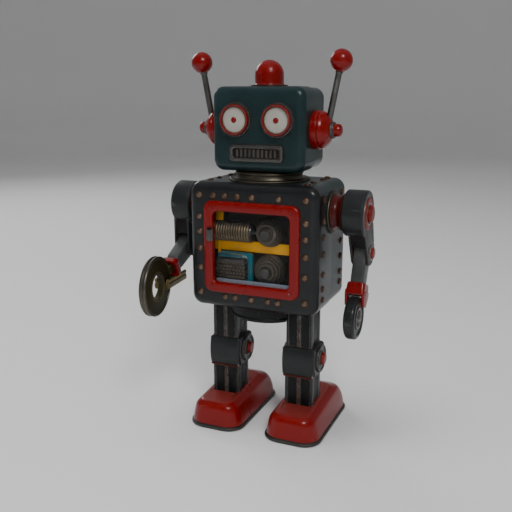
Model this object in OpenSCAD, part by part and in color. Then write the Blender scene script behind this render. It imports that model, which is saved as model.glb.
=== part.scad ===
// Tin wind-up robot: pressed shells, a clockwork movement, hinged limbs and a removable key.
// It stands on Z = 0 and faces -Y, with its left hand on the +X side. Millimetres.

/* [Body] */
// Width of the body
body_w = 84; // [83:0.5:86]
// Depth of the body
body_d = 58.6; // [58:0.2:62]
// Height of the body
body_h = 78.8; // [78:0.2:80]
// Height of the underside of the body above the floor
body_z = 82.7; // [82.5:0.1:83]
// Corner radius of the body
body_r = 7; // [5:0.5:9]
// Thickness of the tinplate
tin = 1.2; // [1:0.1:1.3]

/* [Window] */
// Outer width of the window frame
frame_w = 62.6; // [60:0.2:64]
// Outer height of the window frame
frame_h = 57.3; // [55:0.1:59]
// Width of the frame's border
frame_border = 6.2; // [5:0.1:7]
// Thickness of the frame in front of the body
frame_t = 2.2; // [1.5:0.1:3]

/* [Head] */
// Width of the head
head_w = 59.3; // [58:0.1:60]
// Depth of the head
head_d = 41.8; // [40:0.2:44]
// Height of the head
head_h = 50.2; // [49:0.2:52]
// Distance of each eye from the middle
eye_x = 13.4; // [13:0.1:14]
// Radius of an antenna ball
ball_r = 6.55; // [6:0.05:7]

/* [Arms] */
// Distance of the middle of each arm from the middle of the body
arm_x = 58.7; // [58.6:0.1:60]
// Radius of the shoulder drum
drum_r = 14.25; // [13:0.25:15]
// Distance from shoulder to elbow
upper_arm_l = 27.9; // [27:0.1:29]
// Backward lean of the left upper arm at rest
left_lean = 20.8; // [15:0.1:25]
// Forward slope of the left forearm from straight down
left_slope = 23; // [20:0.5:30]

/* [Legs] */
// Distance of the middle of each leg from the middle of the body
leg_x = 25.7; // [25.6:0.1:25.8]
// Height of the knee pivot
knee_z = 47.9;
knee_dy = 2.5;
knee_z0 = 37.2;
knee_z1 = 57.2; // [49:0.1:49.4]
// Width of the upper leg
thigh_w = 17.5; // [17:0.1:17.8]
// Width of the lower leg
shin_w = 19.2; // [18.8:0.1:19.4]
// Height of the foot's top face
foot_h = 22; // [21:0.5:23]
heel_y = 28.3;
shoe_fall = 0.075;

/* [Key] */
// Outer radius of the key's bow
bow_r = 19; // [18:0.1:19]
// Thickness of the bow
bow_t = 4.8; // [4:0.1:5]
// Radius of the hole in the bow
bow_hole_r = 8.1; // [7:0.1:8.2]
// Width across the flats of the winding square
square_w = 3.4; // [3:0.1:3.5]

/* [Hidden] */
$fn = 48;

// Running fit of a shaft, and the gap between parts that only pass each other
fit = 0.06;
gap = 0.3;

// Body
body_top = body_z + body_h;
body_mid = body_z + body_h / 2;
front_y = -body_d / 2;
side_in = body_w / 2 - tin;
shoulder_z = 143.4;
rivet_r = 1.9;
rivet_h = 1.1;
dish_r = 25.5;
dish_h = 9.3;
leg_slot_w = 19;
leg_slot_y0 = -16.5;
leg_slot_y1 = 7.5;

// Window
frame_z = 121.65;
frame_r = 5;
open_w = frame_w - 2 * frame_border;
open_h = frame_h - 2 * frame_border;
pane_t = 0.8;
lever_x = -27.1;
lever_z = 132.6;
lever_pin_r = 0.8;

// Head and neck
neck_r = 21;
neck_flange_r = 25.5;
neck_pin_r = 12;
head_z = body_top + 6.2;
head_top = head_z + head_h;
head_mid = head_z + head_h / 2;
head_front = -head_d / 2;
eye_z = head_z + 30.7;
mouth_z = head_z + 11.2;
ear_y = -2;
ear_z = head_z + 24.8;
ear_x0 = head_w / 2 + gap;
ear_axle_r = 3;
ball_x = 45.35;
ball_z = 232.4;
rod_x0 = 37.6;
rod_z0 = ear_z;
rod_r = 1.9;
dome_r = 8.8;

// Arms
drum_x0 = 50.4;
arm_w = 11;
drum_x1 = arm_x + arm_w / 2;
arm_axle_r = 3;
plate_t = 1.2;
plate_r = 8.2;
forearm_w = arm_w - 2 * plate_t - 2 * gap;
forearm_d0 = 12.8;
forearm_d1 = 10.4;
elbow_r = 2;
left_cuff_s = 19.7;
left_cuff_e = 27.3;
left_cheek_e = 34.4;
left_cuff_d = 13.6;
left_hand_s = 41.3;
right_cuff_s = 23.2;
right_cuff_e = 27.9;
cuff_w = 12.2;
hand_r = 13.3;
hand_t = 7;
hand_hole_r = 5.5;
wrist_s = 31.2;
wrist_r = 1.6;

// Key, held out in front by the right hand
key_y = -44.5;
key_z = 96.2;
key_yaw = 5.45;
stem_t0 = 9;
stem_t1 = 37;
stem_w = 10.4;
stem_h = 6.8;
stem_drop = 1;
clip_half = bow_t / 2 + 1.25;
clip_l = 3;

// The right arm: its elbow lies so that the forearm points at the middle of the key
right_lean = -3.3;
right_elbow_y = upper_arm_l * sin(right_lean);
right_elbow_z = shoulder_z - upper_arm_l * cos(right_lean);
right_rise = atan2(right_elbow_z - key_z, right_elbow_y - key_y);
right_slope = 90 - right_rise + 1.2;

// Legs and feet
leg_y = -4.5;
thigh_d = 17;
shin_d = 15.6;
hip_z = 91;
hip_pin_r = 1.6;
knee_pin_r = 2.2;
knee_w = 22;
knee_bulge_r = 30;
tongue_r = 8;
ankle_z = 12;
ankle_r = 1.8;
foot_x = 26.3;
sole_w = 37.8;
sole_y0 = -34.2;
sole_y1 = 40.3;
sole_r = 11.5;
sole_t = 2.8;

// Movement: places of the wheels and the modules of their teeth
low_x = 6.6;
low_z = 106.2;
up_z = 130.2;
gear_m = 0.75;
great_n = 36;
upper_n = 28;
winding_n = 12;
winding_dir = 150;
winding_d = gear_m * (great_n + winding_n) / 2;
wind_x = low_x + winding_d * cos(winding_dir);
wind_z = low_z + winding_d * sin(winding_dir);
gear_y0 = -11.2;
gear_y1 = -9.7;
arbor_r = 1.5;
crank_y = leg_y;
crank_m = 0.8;
crown_n = 30;
crank_n = 10;
crown_r = crank_m * crown_n / 2;
crank_pinion_r = crank_m * crank_n / 2;
throw = 2;
crank_pin_r = 1.2;
coil_m = 0.6;
coil_crown_n = 25;
coil_pinion_n = 10;
coil_crown_r = coil_m * coil_crown_n / 2;
coil_pinion_r = coil_m * coil_pinion_n / 2;
coil_y = -19.6;
coil_crown_y = -15.8;
coil_crown_h = coil_crown_y - coil_y - coil_pinion_r + 0.75 * coil_m;
drum_back = -14.4;
coil_r = 6.4;
coil_x0 = -28.6;
coil_x1 = -4.6;
plate_y0 = -12.7;
plate_y1 = -11.5;
rear_plate_y0 = 4.4;
rear_plate_y1 = 5.6;
plate_half = 22.2;
plate_z0 = 97;
plate_z1 = 142;
barrel_r = 15;
barrel_y1 = 18.6;
ratchet_r = 8;

// The frame's origin lies under the middle of the whole robot, key included
origin_y = -(key_y - bow_r + sole_y1) / 2;

// ---------- Helpers ----------

// Moves a part from the body's own middle plane to the frame's origin
module in_frame() {
  translate([0, origin_y, 0]) children();
}

// Draws a right-hand part as the mirror image of the left-hand one
module side(s) {
  if (s > 0) children();
  else mirror([1, 0, 0]) children();
}

// Flat shape with true round corners
module rrect(w, h, r) {
  square([w - 2 * r, h], center = true);
  square([w, h - 2 * r], center = true);
  for (sx = [-1, 1], sy = [-1, 1])
    translate([sx * (w / 2 - r), sy * (h / 2 - r)]) circle(r);
}

// Extrudes an XZ outline from y0 to y1
module slab_y(y0, y1) {
  translate([0, y1, 0]) rotate([90, 0, 0]) linear_extrude(y1 - y0) children();
}

// Extrudes a YZ outline from x0 to x1
module slab_x(x0, x1) {
  translate([x0, 0, 0]) rotate([90, 0, 90]) linear_extrude(x1 - x0) children();
}

module rod_x(x0, x1, y, z, r) {
  translate([x0, y, z]) rotate([0, 90, 0]) cylinder(h = x1 - x0, r = r);
}

module rod_y(y0, y1, x, z, r) {
  translate([x, y0, z]) rotate([-90, 0, 0]) cylinder(h = y1 - y0, r = r);
}

module box(x0, x1, y0, y1, z0, z1) {
  translate([x0, y0, z0]) cube([x1 - x0, y1 - y0, z1 - z0]);
}

// Low domed rivet head standing on Z = 0
module rivet() {
  cylinder(h = 0.35, r = rivet_r);
  translate([0, 0, 0.35]) cylinder(h = rivet_h - 0.35, r1 = rivet_r - 0.1, r2 = 0.8);
}

// Angle of the involute of base radius rb at radius r
function involute(rb, r) = let (a = acos(min(1, rb / r))) tan(a) * 180 / PI - a;

// Half the angle that a tooth takes up at radius r
function half_tooth(rp, n, rb, r, slack) =
  90 / n + involute(rb, rp) - involute(rb, r) - slack / rp * 90 / PI;

// Corners of one tooth as [radius, angle], from one root to the other
function tooth(rp, n, m, rb, slack) =
  let (
    r_root = rp - 1.05 * m,
    r_low = max(r_root, rb),
    r_tip = rp + 0.75 * m,
    rr = [for (s = [0, 0.4, 0.75, 1]) r_low + s * (r_tip - r_low)],
    hh = [for (r = rr) half_tooth(rp, n, rb, r, slack)]
  )
  concat(
    [[r_root, -hh[0]]],
    [for (i = [0:3]) [rr[i], -hh[i]]],
    [for (i = [3:-1:0]) [rr[i], hh[i]]],
    [[r_root, hh[0]]]
  );

// Spur gear outline with involute flanks and one tooth centred on the angle turn
module gear_outline(n, m, turn, slack = 0.25) {
  rp = m * n / 2;
  points = tooth(rp, n, m, rp * cos(25), slack);
  polygon([
    for (i = [0:n - 1], p = points)
      p[0] * [cos(turn + 360 * i / n + p[1]), sin(turn + 360 * i / n + p[1])]
  ]);
}

// Ring of crown teeth standing up from Z = 0, with a gap centred on the angle turn
module crown_teeth(n, m, width, height, turn) {
  rp = m * n / 2;
  w0 = PI * m * 0.52;
  w1 = PI * m * 0.16;
  for (i = [0:n - 1])
    rotate(turn + 360 * (i + 0.5) / n)
      translate([rp - width / 2, 0, -0.2]) rotate([90, 0, 90]) linear_extrude(width)
        polygon([[-w0 / 2, 0], [w0 / 2, 0], [w1 / 2, height + 0.2], [-w1 / 2, height + 0.2]]);
}

// ---------- Body ----------

// Pressed half shell of the body between two depths, with one closed end
module body_half(y0, y1, inner_y0, inner_y1) {
  difference() {
    slab_y(y0, y1) translate([0, body_mid]) rrect(body_w, body_h, body_r);
    slab_y(inner_y0, inner_y1)
      translate([0, body_mid]) rrect(body_w - 2 * tin, body_h - 2 * tin, body_r - tin);
    translate([0, 0, body_top - 2 * tin]) cylinder(h = 3 * tin, r = neck_pin_r + 1);
    for (s = [-1, 1]) {
      rod_x(s > 0 ? side_in - 1 : -body_w / 2 - 1, s > 0 ? body_w / 2 + 1 : 1 - side_in,
        0, shoulder_z, arm_axle_r);
      box(s * leg_x - leg_slot_w / 2, s * leg_x + leg_slot_w / 2, leg_slot_y0, leg_slot_y1,
        body_z - 1, body_z + 2 * tin);
    }
  }
}

module body_front_shell() {
  color("#30373a") in_frame() difference() {
    body_half(front_y, 0, front_y + tin, 1);
    slab_y(front_y - 1, front_y + 2 * tin)
      translate([0, frame_z]) rrect(open_w + 3, open_h + 3, 3);
  }
}

module body_rear_shell() {
  color("#3c4d50") in_frame() difference() {
    body_half(0, -front_y, -1, -front_y - tin);
    rod_y(-front_y - 2 * tin, 1 - front_y, wind_x, wind_z, 4.2);
  }
}

module body_rivets() {
  corner_x = 34.6;
  row_x = [-25.1, -17.3, -9.2, 0.5, 17.6];
  foot_row_x = [-17.6, -10.7, 0.1, 11.1, 17.6];
  side_z = [153, 140.1, 130.6, 119.9, 107.6, 98.6, 91.9];
  rear_z = [153, 140.1, 130.6, 121.8, 111.7, 101.4, 94.6];
  color("#a5764e") in_frame() {
    for (x = concat([-corner_x], row_x, [corner_x]))
      translate([x, front_y, 153.4]) rotate([90, 0, 0]) rivet();
    for (x = concat([-corner_x], foot_row_x, [corner_x]))
      translate([x, front_y, abs(x) == corner_x ? 91.9 : 90.2]) rotate([90, 0, 0]) rivet();
    for (s = [-1, 1], z = [140.1, 130.6, 119.9, 107.7])
      translate([s * corner_x, front_y, z]) rotate([90, 0, 0]) rivet();
    for (s = [-1, 1], i = [0:6]) {
      translate([s * body_w / 2, -17.3, side_z[i]]) rotate([0, s * 90, 0]) rivet();
      translate([s * body_w / 2, 18.8, rear_z[i]]) rotate([0, s * 90, 0]) rivet();
    }
    for (s = [-1, 1], y = [-19.5, -7.4, 10.5, 19.5])
      translate([s * 31.7, y, body_top]) rivet();
    for (s = [-1, 1], z = rear_z)
      translate([s * corner_x, -front_y, z]) rotate([-90, 0, 0]) rivet();
    for (x = [-17.6, 0, 17.6], z = [90.2, 153.4])
      translate([x, -front_y, z]) rotate([-90, 0, 0]) rivet();
  }
}

module window_frame() {
  color("#c02a1c") in_frame() difference() {
    union() {
      slab_y(front_y - frame_t, front_y) translate([0, frame_z]) rrect(frame_w, frame_h, frame_r);
      slab_y(front_y, front_y + tin)
        translate([0, frame_z]) rrect(open_w + 3, open_h + 3, 3);
    }
    slab_y(front_y - frame_t - 1, front_y + 2 * tin)
      translate([0, frame_z]) rrect(open_w, open_h, 4);
    rod_y(front_y - frame_t - 1, front_y - 0.2, lever_x, lever_z, lever_pin_r + fit);
  }
}

module window_screws() {
  color("#8d8f90") in_frame()
    for (sx = [-1, 1], sz = [-1, 1])
      translate([sx * 25.7, front_y - frame_t, frame_z + sz * 24.4]) rotate([90, 0, 0])
        difference() {
          cylinder(h = 0.5, r = 1.5);
          translate([-2, -0.25, 0.25]) cube([4, 0.5, 1]);
        }
}

module window_pane() {
  color("#dfe8ee", 0.35) in_frame()
    slab_y(front_y + tin, front_y + tin + pane_t)
      translate([0, frame_z]) rrect(open_w + 6, open_h + 3, 3);
}

module neck_collar() {
  color("#8a8069") in_frame() difference() {
    union() {
      translate([0, 0, body_top]) cylinder(h = 1.4, r = neck_flange_r);
      translate([0, 0, body_top]) cylinder(h = 5.9, r = neck_r);
      translate([0, 0, body_top - 4]) cylinder(h = 15, r = neck_pin_r);
    }
    translate([0, 0, body_top - 5]) cylinder(h = 20, r = neck_pin_r - 2);
  }
}

module waist_dish() {
  color("#35474b") in_frame() difference() {
    translate([0, 0, body_z - dish_h]) rotate_extrude()
      polygon([[0, 0], [21.5, 0], [24.3, 0.6], [25.2, 2.2], [dish_r, 4], [dish_r, dish_h],
        [dish_r - tin, dish_h], [dish_r - tin, 4], [23.4, 2.2], [21, tin], [0, tin]]);
    for (s = [-1, 1])
      box(s * leg_x - leg_slot_w / 2, s * leg_x + leg_slot_w / 2, leg_slot_y0, leg_slot_y1,
        body_z - dish_h - 1, body_z + 1);
  }
}

// Steel flange, dark red waisted spool and the axle of each arm
module shoulder_bushings() {
  spool = [[3, 0], [13.7, 0], [13.7, 1.5], [11.6, 1.9], [9.9, 3.2], [9.3, 4.4], [9.8, 5.8],
    [11.2, 7.1], [12.2, 7.7], [12.2, 8.1], [3, 8.1]];
  color("#7a2a22") in_frame()
    for (s = [-1, 1]) side(s) {
      translate([body_w / 2, 0, shoulder_z]) rotate([0, 90, 0]) rotate_extrude()
        polygon(spool);
      rod_x(side_in - 6, drum_x1 - 1, 0, shoulder_z, arm_axle_r);
      rod_x(side_in - 1.4, side_in, 0, shoulder_z, 6.5);
    }
}

// ---------- Movement ----------

module movement_front_plate() {
  color("#4a3d33") in_frame() difference() {
    union() {
      box(-plate_half, plate_half, plate_y0, plate_y1, plate_z0, plate_z1);
      for (s = [-1, 1]) side(s)
        box(21, plate_half, plate_y1 - 0.1, crank_y + 3, low_z - 4, low_z + 4);
    }
    rod_y(plate_y0 - 1, plate_y1 + 1, low_x, low_z, arbor_r + fit);
    rod_y(plate_y0 - 1, plate_y1 + 1, low_x, up_z, arbor_r + fit);
    rod_y(plate_y0 - 1, plate_y1 + 1, wind_x, wind_z, arbor_r + fit);
    rod_x(-plate_half - 1, plate_half + 1, crank_y, low_z, arbor_r + fit);
  }
}

// Rear plate with its four pillars and the wings that hold it to the body
module movement_rear_plate() {
  color("#6b665c") in_frame() {
    difference() {
      union() {
        box(-plate_half, plate_half, rear_plate_y0, rear_plate_y1, plate_z0, plate_z1);
        box(-side_in, side_in, rear_plate_y0, rear_plate_y1, 131, plate_z1);
      }
      rod_y(rear_plate_y0 - 1, rear_plate_y1 + 1, low_x, up_z, arbor_r + fit);
      rod_y(rear_plate_y0 - 1, rear_plate_y1 + 1, wind_x, wind_z, arbor_r + fit);
      for (s = [-1, 1]) side(s) rod_x(side_in - 7, side_in + 1, 0, shoulder_z, 7);
    }
    for (sx = [-1, 1], z = [99, plate_z1 - 2.4])
      rod_y(plate_y1, rear_plate_y0, sx * 20.7, z, 1.5);
  }
}

module yellow_bridge() {
  color("#d3a813") in_frame() difference() {
    union() {
      box(-32, 30, -14.2, plate_y0, 116.5, 123.3);
      box(-32, -26.5, plate_y0, plate_y1, 116.5, plate_z1);
      box(-32, -26.5, -14.2, plate_y0, 116.5, 120);
      box(-31.2, -29.6, coil_y - 3.5, plate_y1, up_z - 3.5, up_z + 3.5);
      box(-4.1, -2.9, coil_y - 3.5, -14.2, 121, up_z + 3.5);
      box(-4.1, -2.9, -14.3, plate_y0, 121, 123.3);
    }
    rod_x(-32, 0, coil_y, up_z, 1 + fit);
  }
}

module motor_casing() {
  color("#0f7480") in_frame() difference() {
    slab_y(-19, -15.2) translate([-16, 105.95]) rrect(24, 20.9, 3.5);
    for (i = [0:4])
      box(-26 + i * 4.2, -24.6 + i * 4.2, -20, -17.8, 96.4, 99.4);
  }
}

module fin_block() {
  color("#8c7c55") in_frame() difference() {
    slab_y(-24.4, -19) translate([-16.6, 106.8]) rrect(20.8, 13.2, 1.5);
    for (i = [0:4])
      box(-30, 0, -25, -22.9, 102 + i * 2.1, 102.9 + i * 2.1);
  }
}

module floor_plate() {
  color("#8d9fae") in_frame() box(-33, 33, front_y + tin, -15.4, 94, 95.5);
}

module spring_barrel() {
  color("#77706a") in_frame() difference() {
    rod_y(rear_plate_y1, barrel_y1, wind_x, wind_z, barrel_r);
    rod_y(rear_plate_y1 + 1, barrel_y1 - 1, wind_x, wind_z, barrel_r - 1);
    rod_y(rear_plate_y1 - 1, barrel_y1 + 1, wind_x, wind_z, arbor_r + fit);
  }
}

// Flat spiral spring between the arbor and the wall of the barrel
module mainspring() {
  turns = 6;
  r0 = 2.2;
  r1 = 13.6;
  leaf = 0.5;
  angles = [for (a = [0:15:turns * 360]) a];
  function spiral_r(a) = r0 + (r1 - r0) * a / (turns * 360);
  color("#50545a") in_frame()
    slab_y(rear_plate_y1 + 1.4, barrel_y1 - 1.4) translate([wind_x, wind_z])
      polygon(concat(
        [for (a = angles) spiral_r(a) * [cos(a), sin(a)]],
        [for (i = [len(angles) - 1:-1:0])
          (spiral_r(angles[i]) - leaf) * [cos(angles[i]), sin(angles[i])]]
      ));
}

// Hip pins with the brackets that carry them
module hip_pins() {
  color("#8b8d8f") in_frame()
    for (s = [-1, 1]) side(s) {
      rod_x(leg_x - 11.1, leg_x + 11.1, leg_y, hip_z, hip_pin_r);
      for (x = [leg_x - 11.1, leg_x + 9.9])
        box(x, x + 1.2, leg_y - 5, leg_y + 5, body_z + tin + (x > leg_x ? 0.35 : 0), hip_z + 4);
    }
}

// Great wheel on its arbor, with crown teeth that drive the crankshaft
module great_wheel() {
  color("#a98a45") in_frame() {
    slab_y(gear_y0, gear_y1) translate([low_x, low_z])
      gear_outline(great_n, gear_m, 90);
    translate([low_x, gear_y1, low_z]) rotate([-90, 0, 0])
      crown_teeth(crown_n, crank_m, 1.9, crank_y - crank_pinion_r + 0.6 - gear_y1, 180);
    rod_y(drum_back, -7, low_x, low_z, arbor_r);
  }
}

// Stepped drum with a hub, as [radius, front] pairs from the back forward
module stepped_drum(x, z, back, steps) {
  for (i = [0:len(steps) - 1])
    rod_y(steps[i][1], i == 0 ? back : steps[i - 1][1], x, z, steps[i][0]);
}

module lower_drum() {
  color("#6f675a") in_frame()
    stepped_drum(low_x, low_z, drum_back,
      [[10.1, -15.6], [9.2, -16.6], [9.9, -17.4], [8.2, -18.4], [8.8, -19.2], [6.6, -20.2],
        [5.4, -21.4], [4.2, -22.4], [3, -24.6]]);
}

module upper_wheel() {
  color("#a98a45") in_frame() {
    slab_y(gear_y0, gear_y1) translate([low_x, up_z])
      gear_outline(upper_n, gear_m, -90 + 180 / upper_n);
    rod_y(drum_back, rear_plate_y1 + 0.6, low_x, up_z, arbor_r);
  }
}

// Upper drum, whose front crown teeth drive the coil drum's pinion
module upper_drum() {
  color("#6f675a") in_frame() {
    stepped_drum(low_x, up_z, drum_back,
      [[9, coil_crown_y], [6.1, -17.9], [5.6, -19.4], [4.6, -20.8], [3.9, -21.9], [3, -24.6]]);
    translate([low_x, coil_crown_y, up_z]) rotate([90, 0, 0])
      crown_teeth(coil_crown_n, coil_m, 1.5, coil_crown_h, 180);
  }
}

// Arbor with its pinion, its ratchet wheel and the square for the key
module winding_arbor() {
  square_y1 = -front_y + 8;
  color("#9a9386") in_frame() {
    rod_y(plate_y0, barrel_y1 + 1, wind_x, wind_z, arbor_r);
    slab_y(barrel_y1 + 1, square_y1) translate([wind_x, wind_z])
      square(square_w, center = true);
    slab_y(gear_y0, gear_y1) translate([wind_x, wind_z])
      gear_outline(winding_n, gear_m, winding_dir + 180 + 180 / winding_n);
    slab_y(2.2, 3.8) translate([wind_x, wind_z])
      polygon([for (i = [0:15], k = [0, 1])
        (k == 0 ? ratchet_r : ratchet_r - 1.3) * [cos(22.5 * i + k), sin(22.5 * i + k)]]);
  }
}

// Click on its pin, resting just clear of the ratchet's teeth
module click() {
  color("#55585c") in_frame() translate([wind_x - 12.4, 0, wind_z + 5.4]) {
    slab_y(2.2, 3.8) {
      circle(1.8);
      polygon([[-0.6, -1.8], [1.2, 1.4], [4.6, -1.4], [3.6, -3.4]]);
    }
    rod_y(2.2, rear_plate_y0, 0, 0, 0.9);
  }
}

// Ribbed governor drum on its shaft, with the pinion at its inner end
module coil_drum() {
  ribs = 14;
  pitch = (coil_x1 - coil_x0) / ribs;
  color("#8f7c5c") in_frame() {
    rod_x(coil_x0, coil_x1, coil_y, up_z, coil_r - 1);
    for (i = [0:ribs - 1])
      rod_x(coil_x0 + i * pitch, coil_x0 + i * pitch + pitch * 0.6, coil_y, up_z, coil_r);
    rod_x(-31.4, low_x - coil_crown_r + 0.8, coil_y, up_z, 1);
    slab_x(low_x - coil_crown_r - 0.8, low_x - coil_crown_r + 0.8) translate([coil_y, up_z])
      gear_outline(coil_pinion_n, coil_m, 0, 0.35);
  }
}

// Crankshaft with its pinion, two crank discs and their opposed pins
module crankshaft() {
  color("#85888b") in_frame() {
    rod_x(-24.4, 24.4, crank_y, low_z, arbor_r);
    slab_x(low_x - crown_r - 0.9, low_x - crown_r + 0.9) translate([crank_y, low_z])
      gear_outline(crank_n, crank_m, 180, 0.45);
    for (s = [-1, 1]) {
      rod_x(s > 0 ? 22.5 : -24.4, s > 0 ? 24.4 : -22.5, crank_y, low_z, 5);
      rod_x(s > 0 ? 24.3 : -27.6, s > 0 ? 27.6 : -24.3, crank_y, low_z + s * throw, crank_pin_r);
    }
  }
}

// Start and stop lever on its pin at the side of the window
module stop_lever() {
  color("#a9a9a7") in_frame() {
    slab_y(front_y - frame_t - 1.6, front_y - frame_t - 0.2)
      translate([lever_x + 0.9, lever_z - 2.7]) rrect(4.4, 8.4, 0.8);
    rod_y(front_y - frame_t - 0.3, front_y - 0.4, lever_x, lever_z, lever_pin_r);
  }
}

// ---------- Head ----------

module head_half(w, h, r, y0, y1, inner_y0, inner_y1) {
  difference() {
    slab_y(y0, y1) translate([0, head_mid]) rrect(w, h, r);
    slab_y(inner_y0, inner_y1)
      translate([0, head_mid]) rrect(w - 2 * tin, h - 2 * tin, r - tin);
    translate([0, 0, head_z - 1]) cylinder(h = 4 * tin, r = neck_pin_r + fit);
    for (s = [-1, 1]) side(s)
      rod_x(head_w / 2 - 2.5 * tin, head_w / 2 + 1, ear_y, ear_z, ear_axle_r + fit);
  }
}

module head_front_shell() {
  color("#41595c") in_frame()
    head_half(head_w, head_h, 6.5, head_front, 0.6, head_front + tin, 2);
}

module head_rear_shell() {
  color("#3d5457") in_frame()
    head_half(head_w - 1.2, head_h - 1.2, 6, 0.6, -head_front, -1, -head_front - tin);
}

module dome() {
  color("#b3201a") in_frame() translate([0, -1, head_top]) {
    cylinder(h = 1.3, r = 11.5);
    cylinder(h = 6.9, r = dome_r);
    intersection() {
      translate([0, 0, 6.9]) sphere(dome_r);
      translate([0, 0, 6.9]) cylinder(h = dome_r + 1, r = dome_r + 1);
    }
  }
}

// Ring standing on the face around each eye
module eye_ring(r_out, r_in, out) {
  for (s = [-1, 1]) difference() {
    rod_y(head_front - out, head_front, s * eye_x, eye_z, r_out);
    rod_y(head_front - out - 1, head_front + 1, s * eye_x, eye_z, r_in);
  }
}

module eye_rings() {
  color("#8f9496") in_frame() eye_ring(10.3, 9.2, 2.2);
}

module eye_rims() {
  color("#b4241d") in_frame() {
    eye_ring(9.2, 7.4, 4.4);
    for (s = [-1, 1]) rod_y(head_front - 4, head_front - 3.1, s * eye_x, eye_z, 1.7);
  }
}

module eye_discs() {
  color("#e6e2d8") in_frame()
    for (s = [-1, 1]) rod_y(head_front - 3.1, head_front, s * eye_x, eye_z, 7.4);
}

module mouth_grille() {
  bars = 9;
  pocket_w = 28;
  color("#868b8c") in_frame() {
    difference() {
      slab_y(head_front - 2, head_front) translate([0, mouth_z]) rrect(34.6, 10.2, 2.6);
      slab_y(head_front - 3, head_front - 0.7) translate([0, mouth_z]) rrect(pocket_w, 5.6, 1);
    }
    for (i = [0:bars - 1]) {
      x = (i - (bars - 1) / 2) * pocket_w / bars;
      box(x - 0.75, x + 0.75, head_front - 1.7, head_front - 0.6, mouth_z - 2.9, mouth_z + 2.9);
    }
  }
}

// Ear cap turned about X: base band, domed cone, collar and nub, with its axle
module ear_cap(s) {
  profile = [[0, 0], [11.6, 0], [11.6, 4.1], [10.9, 4.3], [11.2, 4.7], [10.9, 5.9], [10, 7.3],
    [8.4, 8.8], [6.6, 10], [5.2, 10.6], [4.6, 10.6], [4.6, 12.6], [3.8, 12.6], [3.8, 15.4],
    [3.1, 16.4], [1.6, 16.95], [0, 17]];
  color("#b9251b") in_frame() side(s) difference() {
    union() {
      translate([ear_x0, ear_y, ear_z]) rotate([0, 90, 0]) rotate_extrude() polygon(profile);
      rod_x(head_w / 2 - 3.2 * tin, ear_x0 + 1, ear_y, ear_z, ear_axle_r);
    }
    antenna_rod(rod_r);
  }
}

module antenna_rod(r) {
  lean = atan2(ball_x - rod_x0, ball_z - rod_z0);
  reach = norm([ball_x - rod_x0, ball_z - rod_z0]);
  translate([rod_x0, ear_y, rod_z0]) rotate([0, lean, 0]) cylinder(h = reach - 4, r = r);
}

module antenna(s) {
  color("#8e9294") in_frame() side(s) {
    antenna_rod(rod_r);
    translate([ball_x, ear_y, ball_z]) sphere(ball_r);
  }
}

module ear_cap_left() { ear_cap(1); }
module ear_cap_right() { ear_cap(-1); }
module antenna_left() { antenna(1); }
module antenna_right() { antenna(-1); }

// ---------- Arms ----------

// Places a left arm part at the shoulder, hanging down from it
module at_shoulder(s, lean) {
  in_frame() side(s) translate([arm_x, 0, shoulder_z]) rotate([lean, 0, 0]) children();
}

// Places a left forearm part at the elbow, hanging down from it
module at_elbow(s, lean, slope) {
  in_frame() side(s)
    translate([arm_x, upper_arm_l * sin(lean), shoulder_z - upper_arm_l * cos(lean)])
      rotate([-slope, 0, 0]) children();
}

module upper_arm_shape() {
  half = arm_w / 2;
  difference() {
    union() {
      rod_x(drum_x0 - arm_x, half, 0, 0, drum_r);
      for (x = [-half, half - plate_t])
        slab_x(x, x + plate_t) {
          polygon([[-9.4, -8], [9.4, -8], [plate_r - 0.1, -upper_arm_l],
            [-plate_r + 0.1, -upper_arm_l]]);
          translate([0, -upper_arm_l]) circle(plate_r);
        }
      for (y = [-7.8, 6.6])
        box(-half + 0.2, half - 0.2, y, y + 1.2, -20.5, -10);
    }
    rod_x(drum_x0 - arm_x + tin, half - tin, 0, 0, drum_r - tin);
    rod_x(drum_x0 - arm_x - 1, half + 1, 0, 0, arm_axle_r + fit);
    rod_x(-half - 1, half + 1, 0, -upper_arm_l, elbow_r);
  }
}

// Shoulder cap on the drum, and the elbow pin with its two heads
module arm_pins_shape() {
  half = arm_w / 2;
  rod_x(half, half + 0.8, 0, 0, 9.9);
  rod_x(half + 0.8, half + 3, 0, 0, 5.25);
  rod_x(-half - 1.6, half + 2.2, 0, -upper_arm_l, elbow_r);
  rod_x(half, half + 2.2, 0, -upper_arm_l, 3.6);
  rod_x(-half - 1.6, -half, 0, -upper_arm_l, 3.6);
}

// Forearm that ends at distance end from the elbow
module forearm_shape(cuff_s, end) {
  top = forearm_d0 / 2 - 0.05;
  low = forearm_d1 / 2;
  difference() {
    union() {
      rod_x(-forearm_w / 2, forearm_w / 2, 0, 0, forearm_d0 / 2);
      slab_x(-forearm_w / 2, forearm_w / 2)
        polygon([[-top, 0], [top, 0], [low, -cuff_s], [low, -end], [-low, -end], [-low, -cuff_s]]);
    }
    rod_x(-forearm_w, forearm_w, 0, 0, elbow_r + fit);
  }
}

module cuff_shape(s0, s1, depth) {
  difference() {
    translate([0, 0, -s1]) linear_extrude(s1 - s0) rrect(cuff_w, depth, 1.6);
    translate([0, 0, -s1 - 1]) linear_extrude(s1 - s0 + 2)
      square([forearm_w, forearm_d1], center = true);
  }
}

module upper_arm_left() { color("#3b3e40") at_shoulder(1, left_lean) upper_arm_shape(); }
module upper_arm_right() { color("#3b3e40") at_shoulder(-1, right_lean) upper_arm_shape(); }
module arm_pins_left() { color("#b3362c") at_shoulder(1, left_lean) arm_pins_shape(); }
module arm_pins_right() { color("#b3362c") at_shoulder(-1, right_lean) arm_pins_shape(); }

module forearm_left() {
  color("#7c7f80") at_elbow(1, left_lean, left_slope)
    forearm_shape(left_cuff_s, left_cuff_e - 0.3);
}

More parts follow.
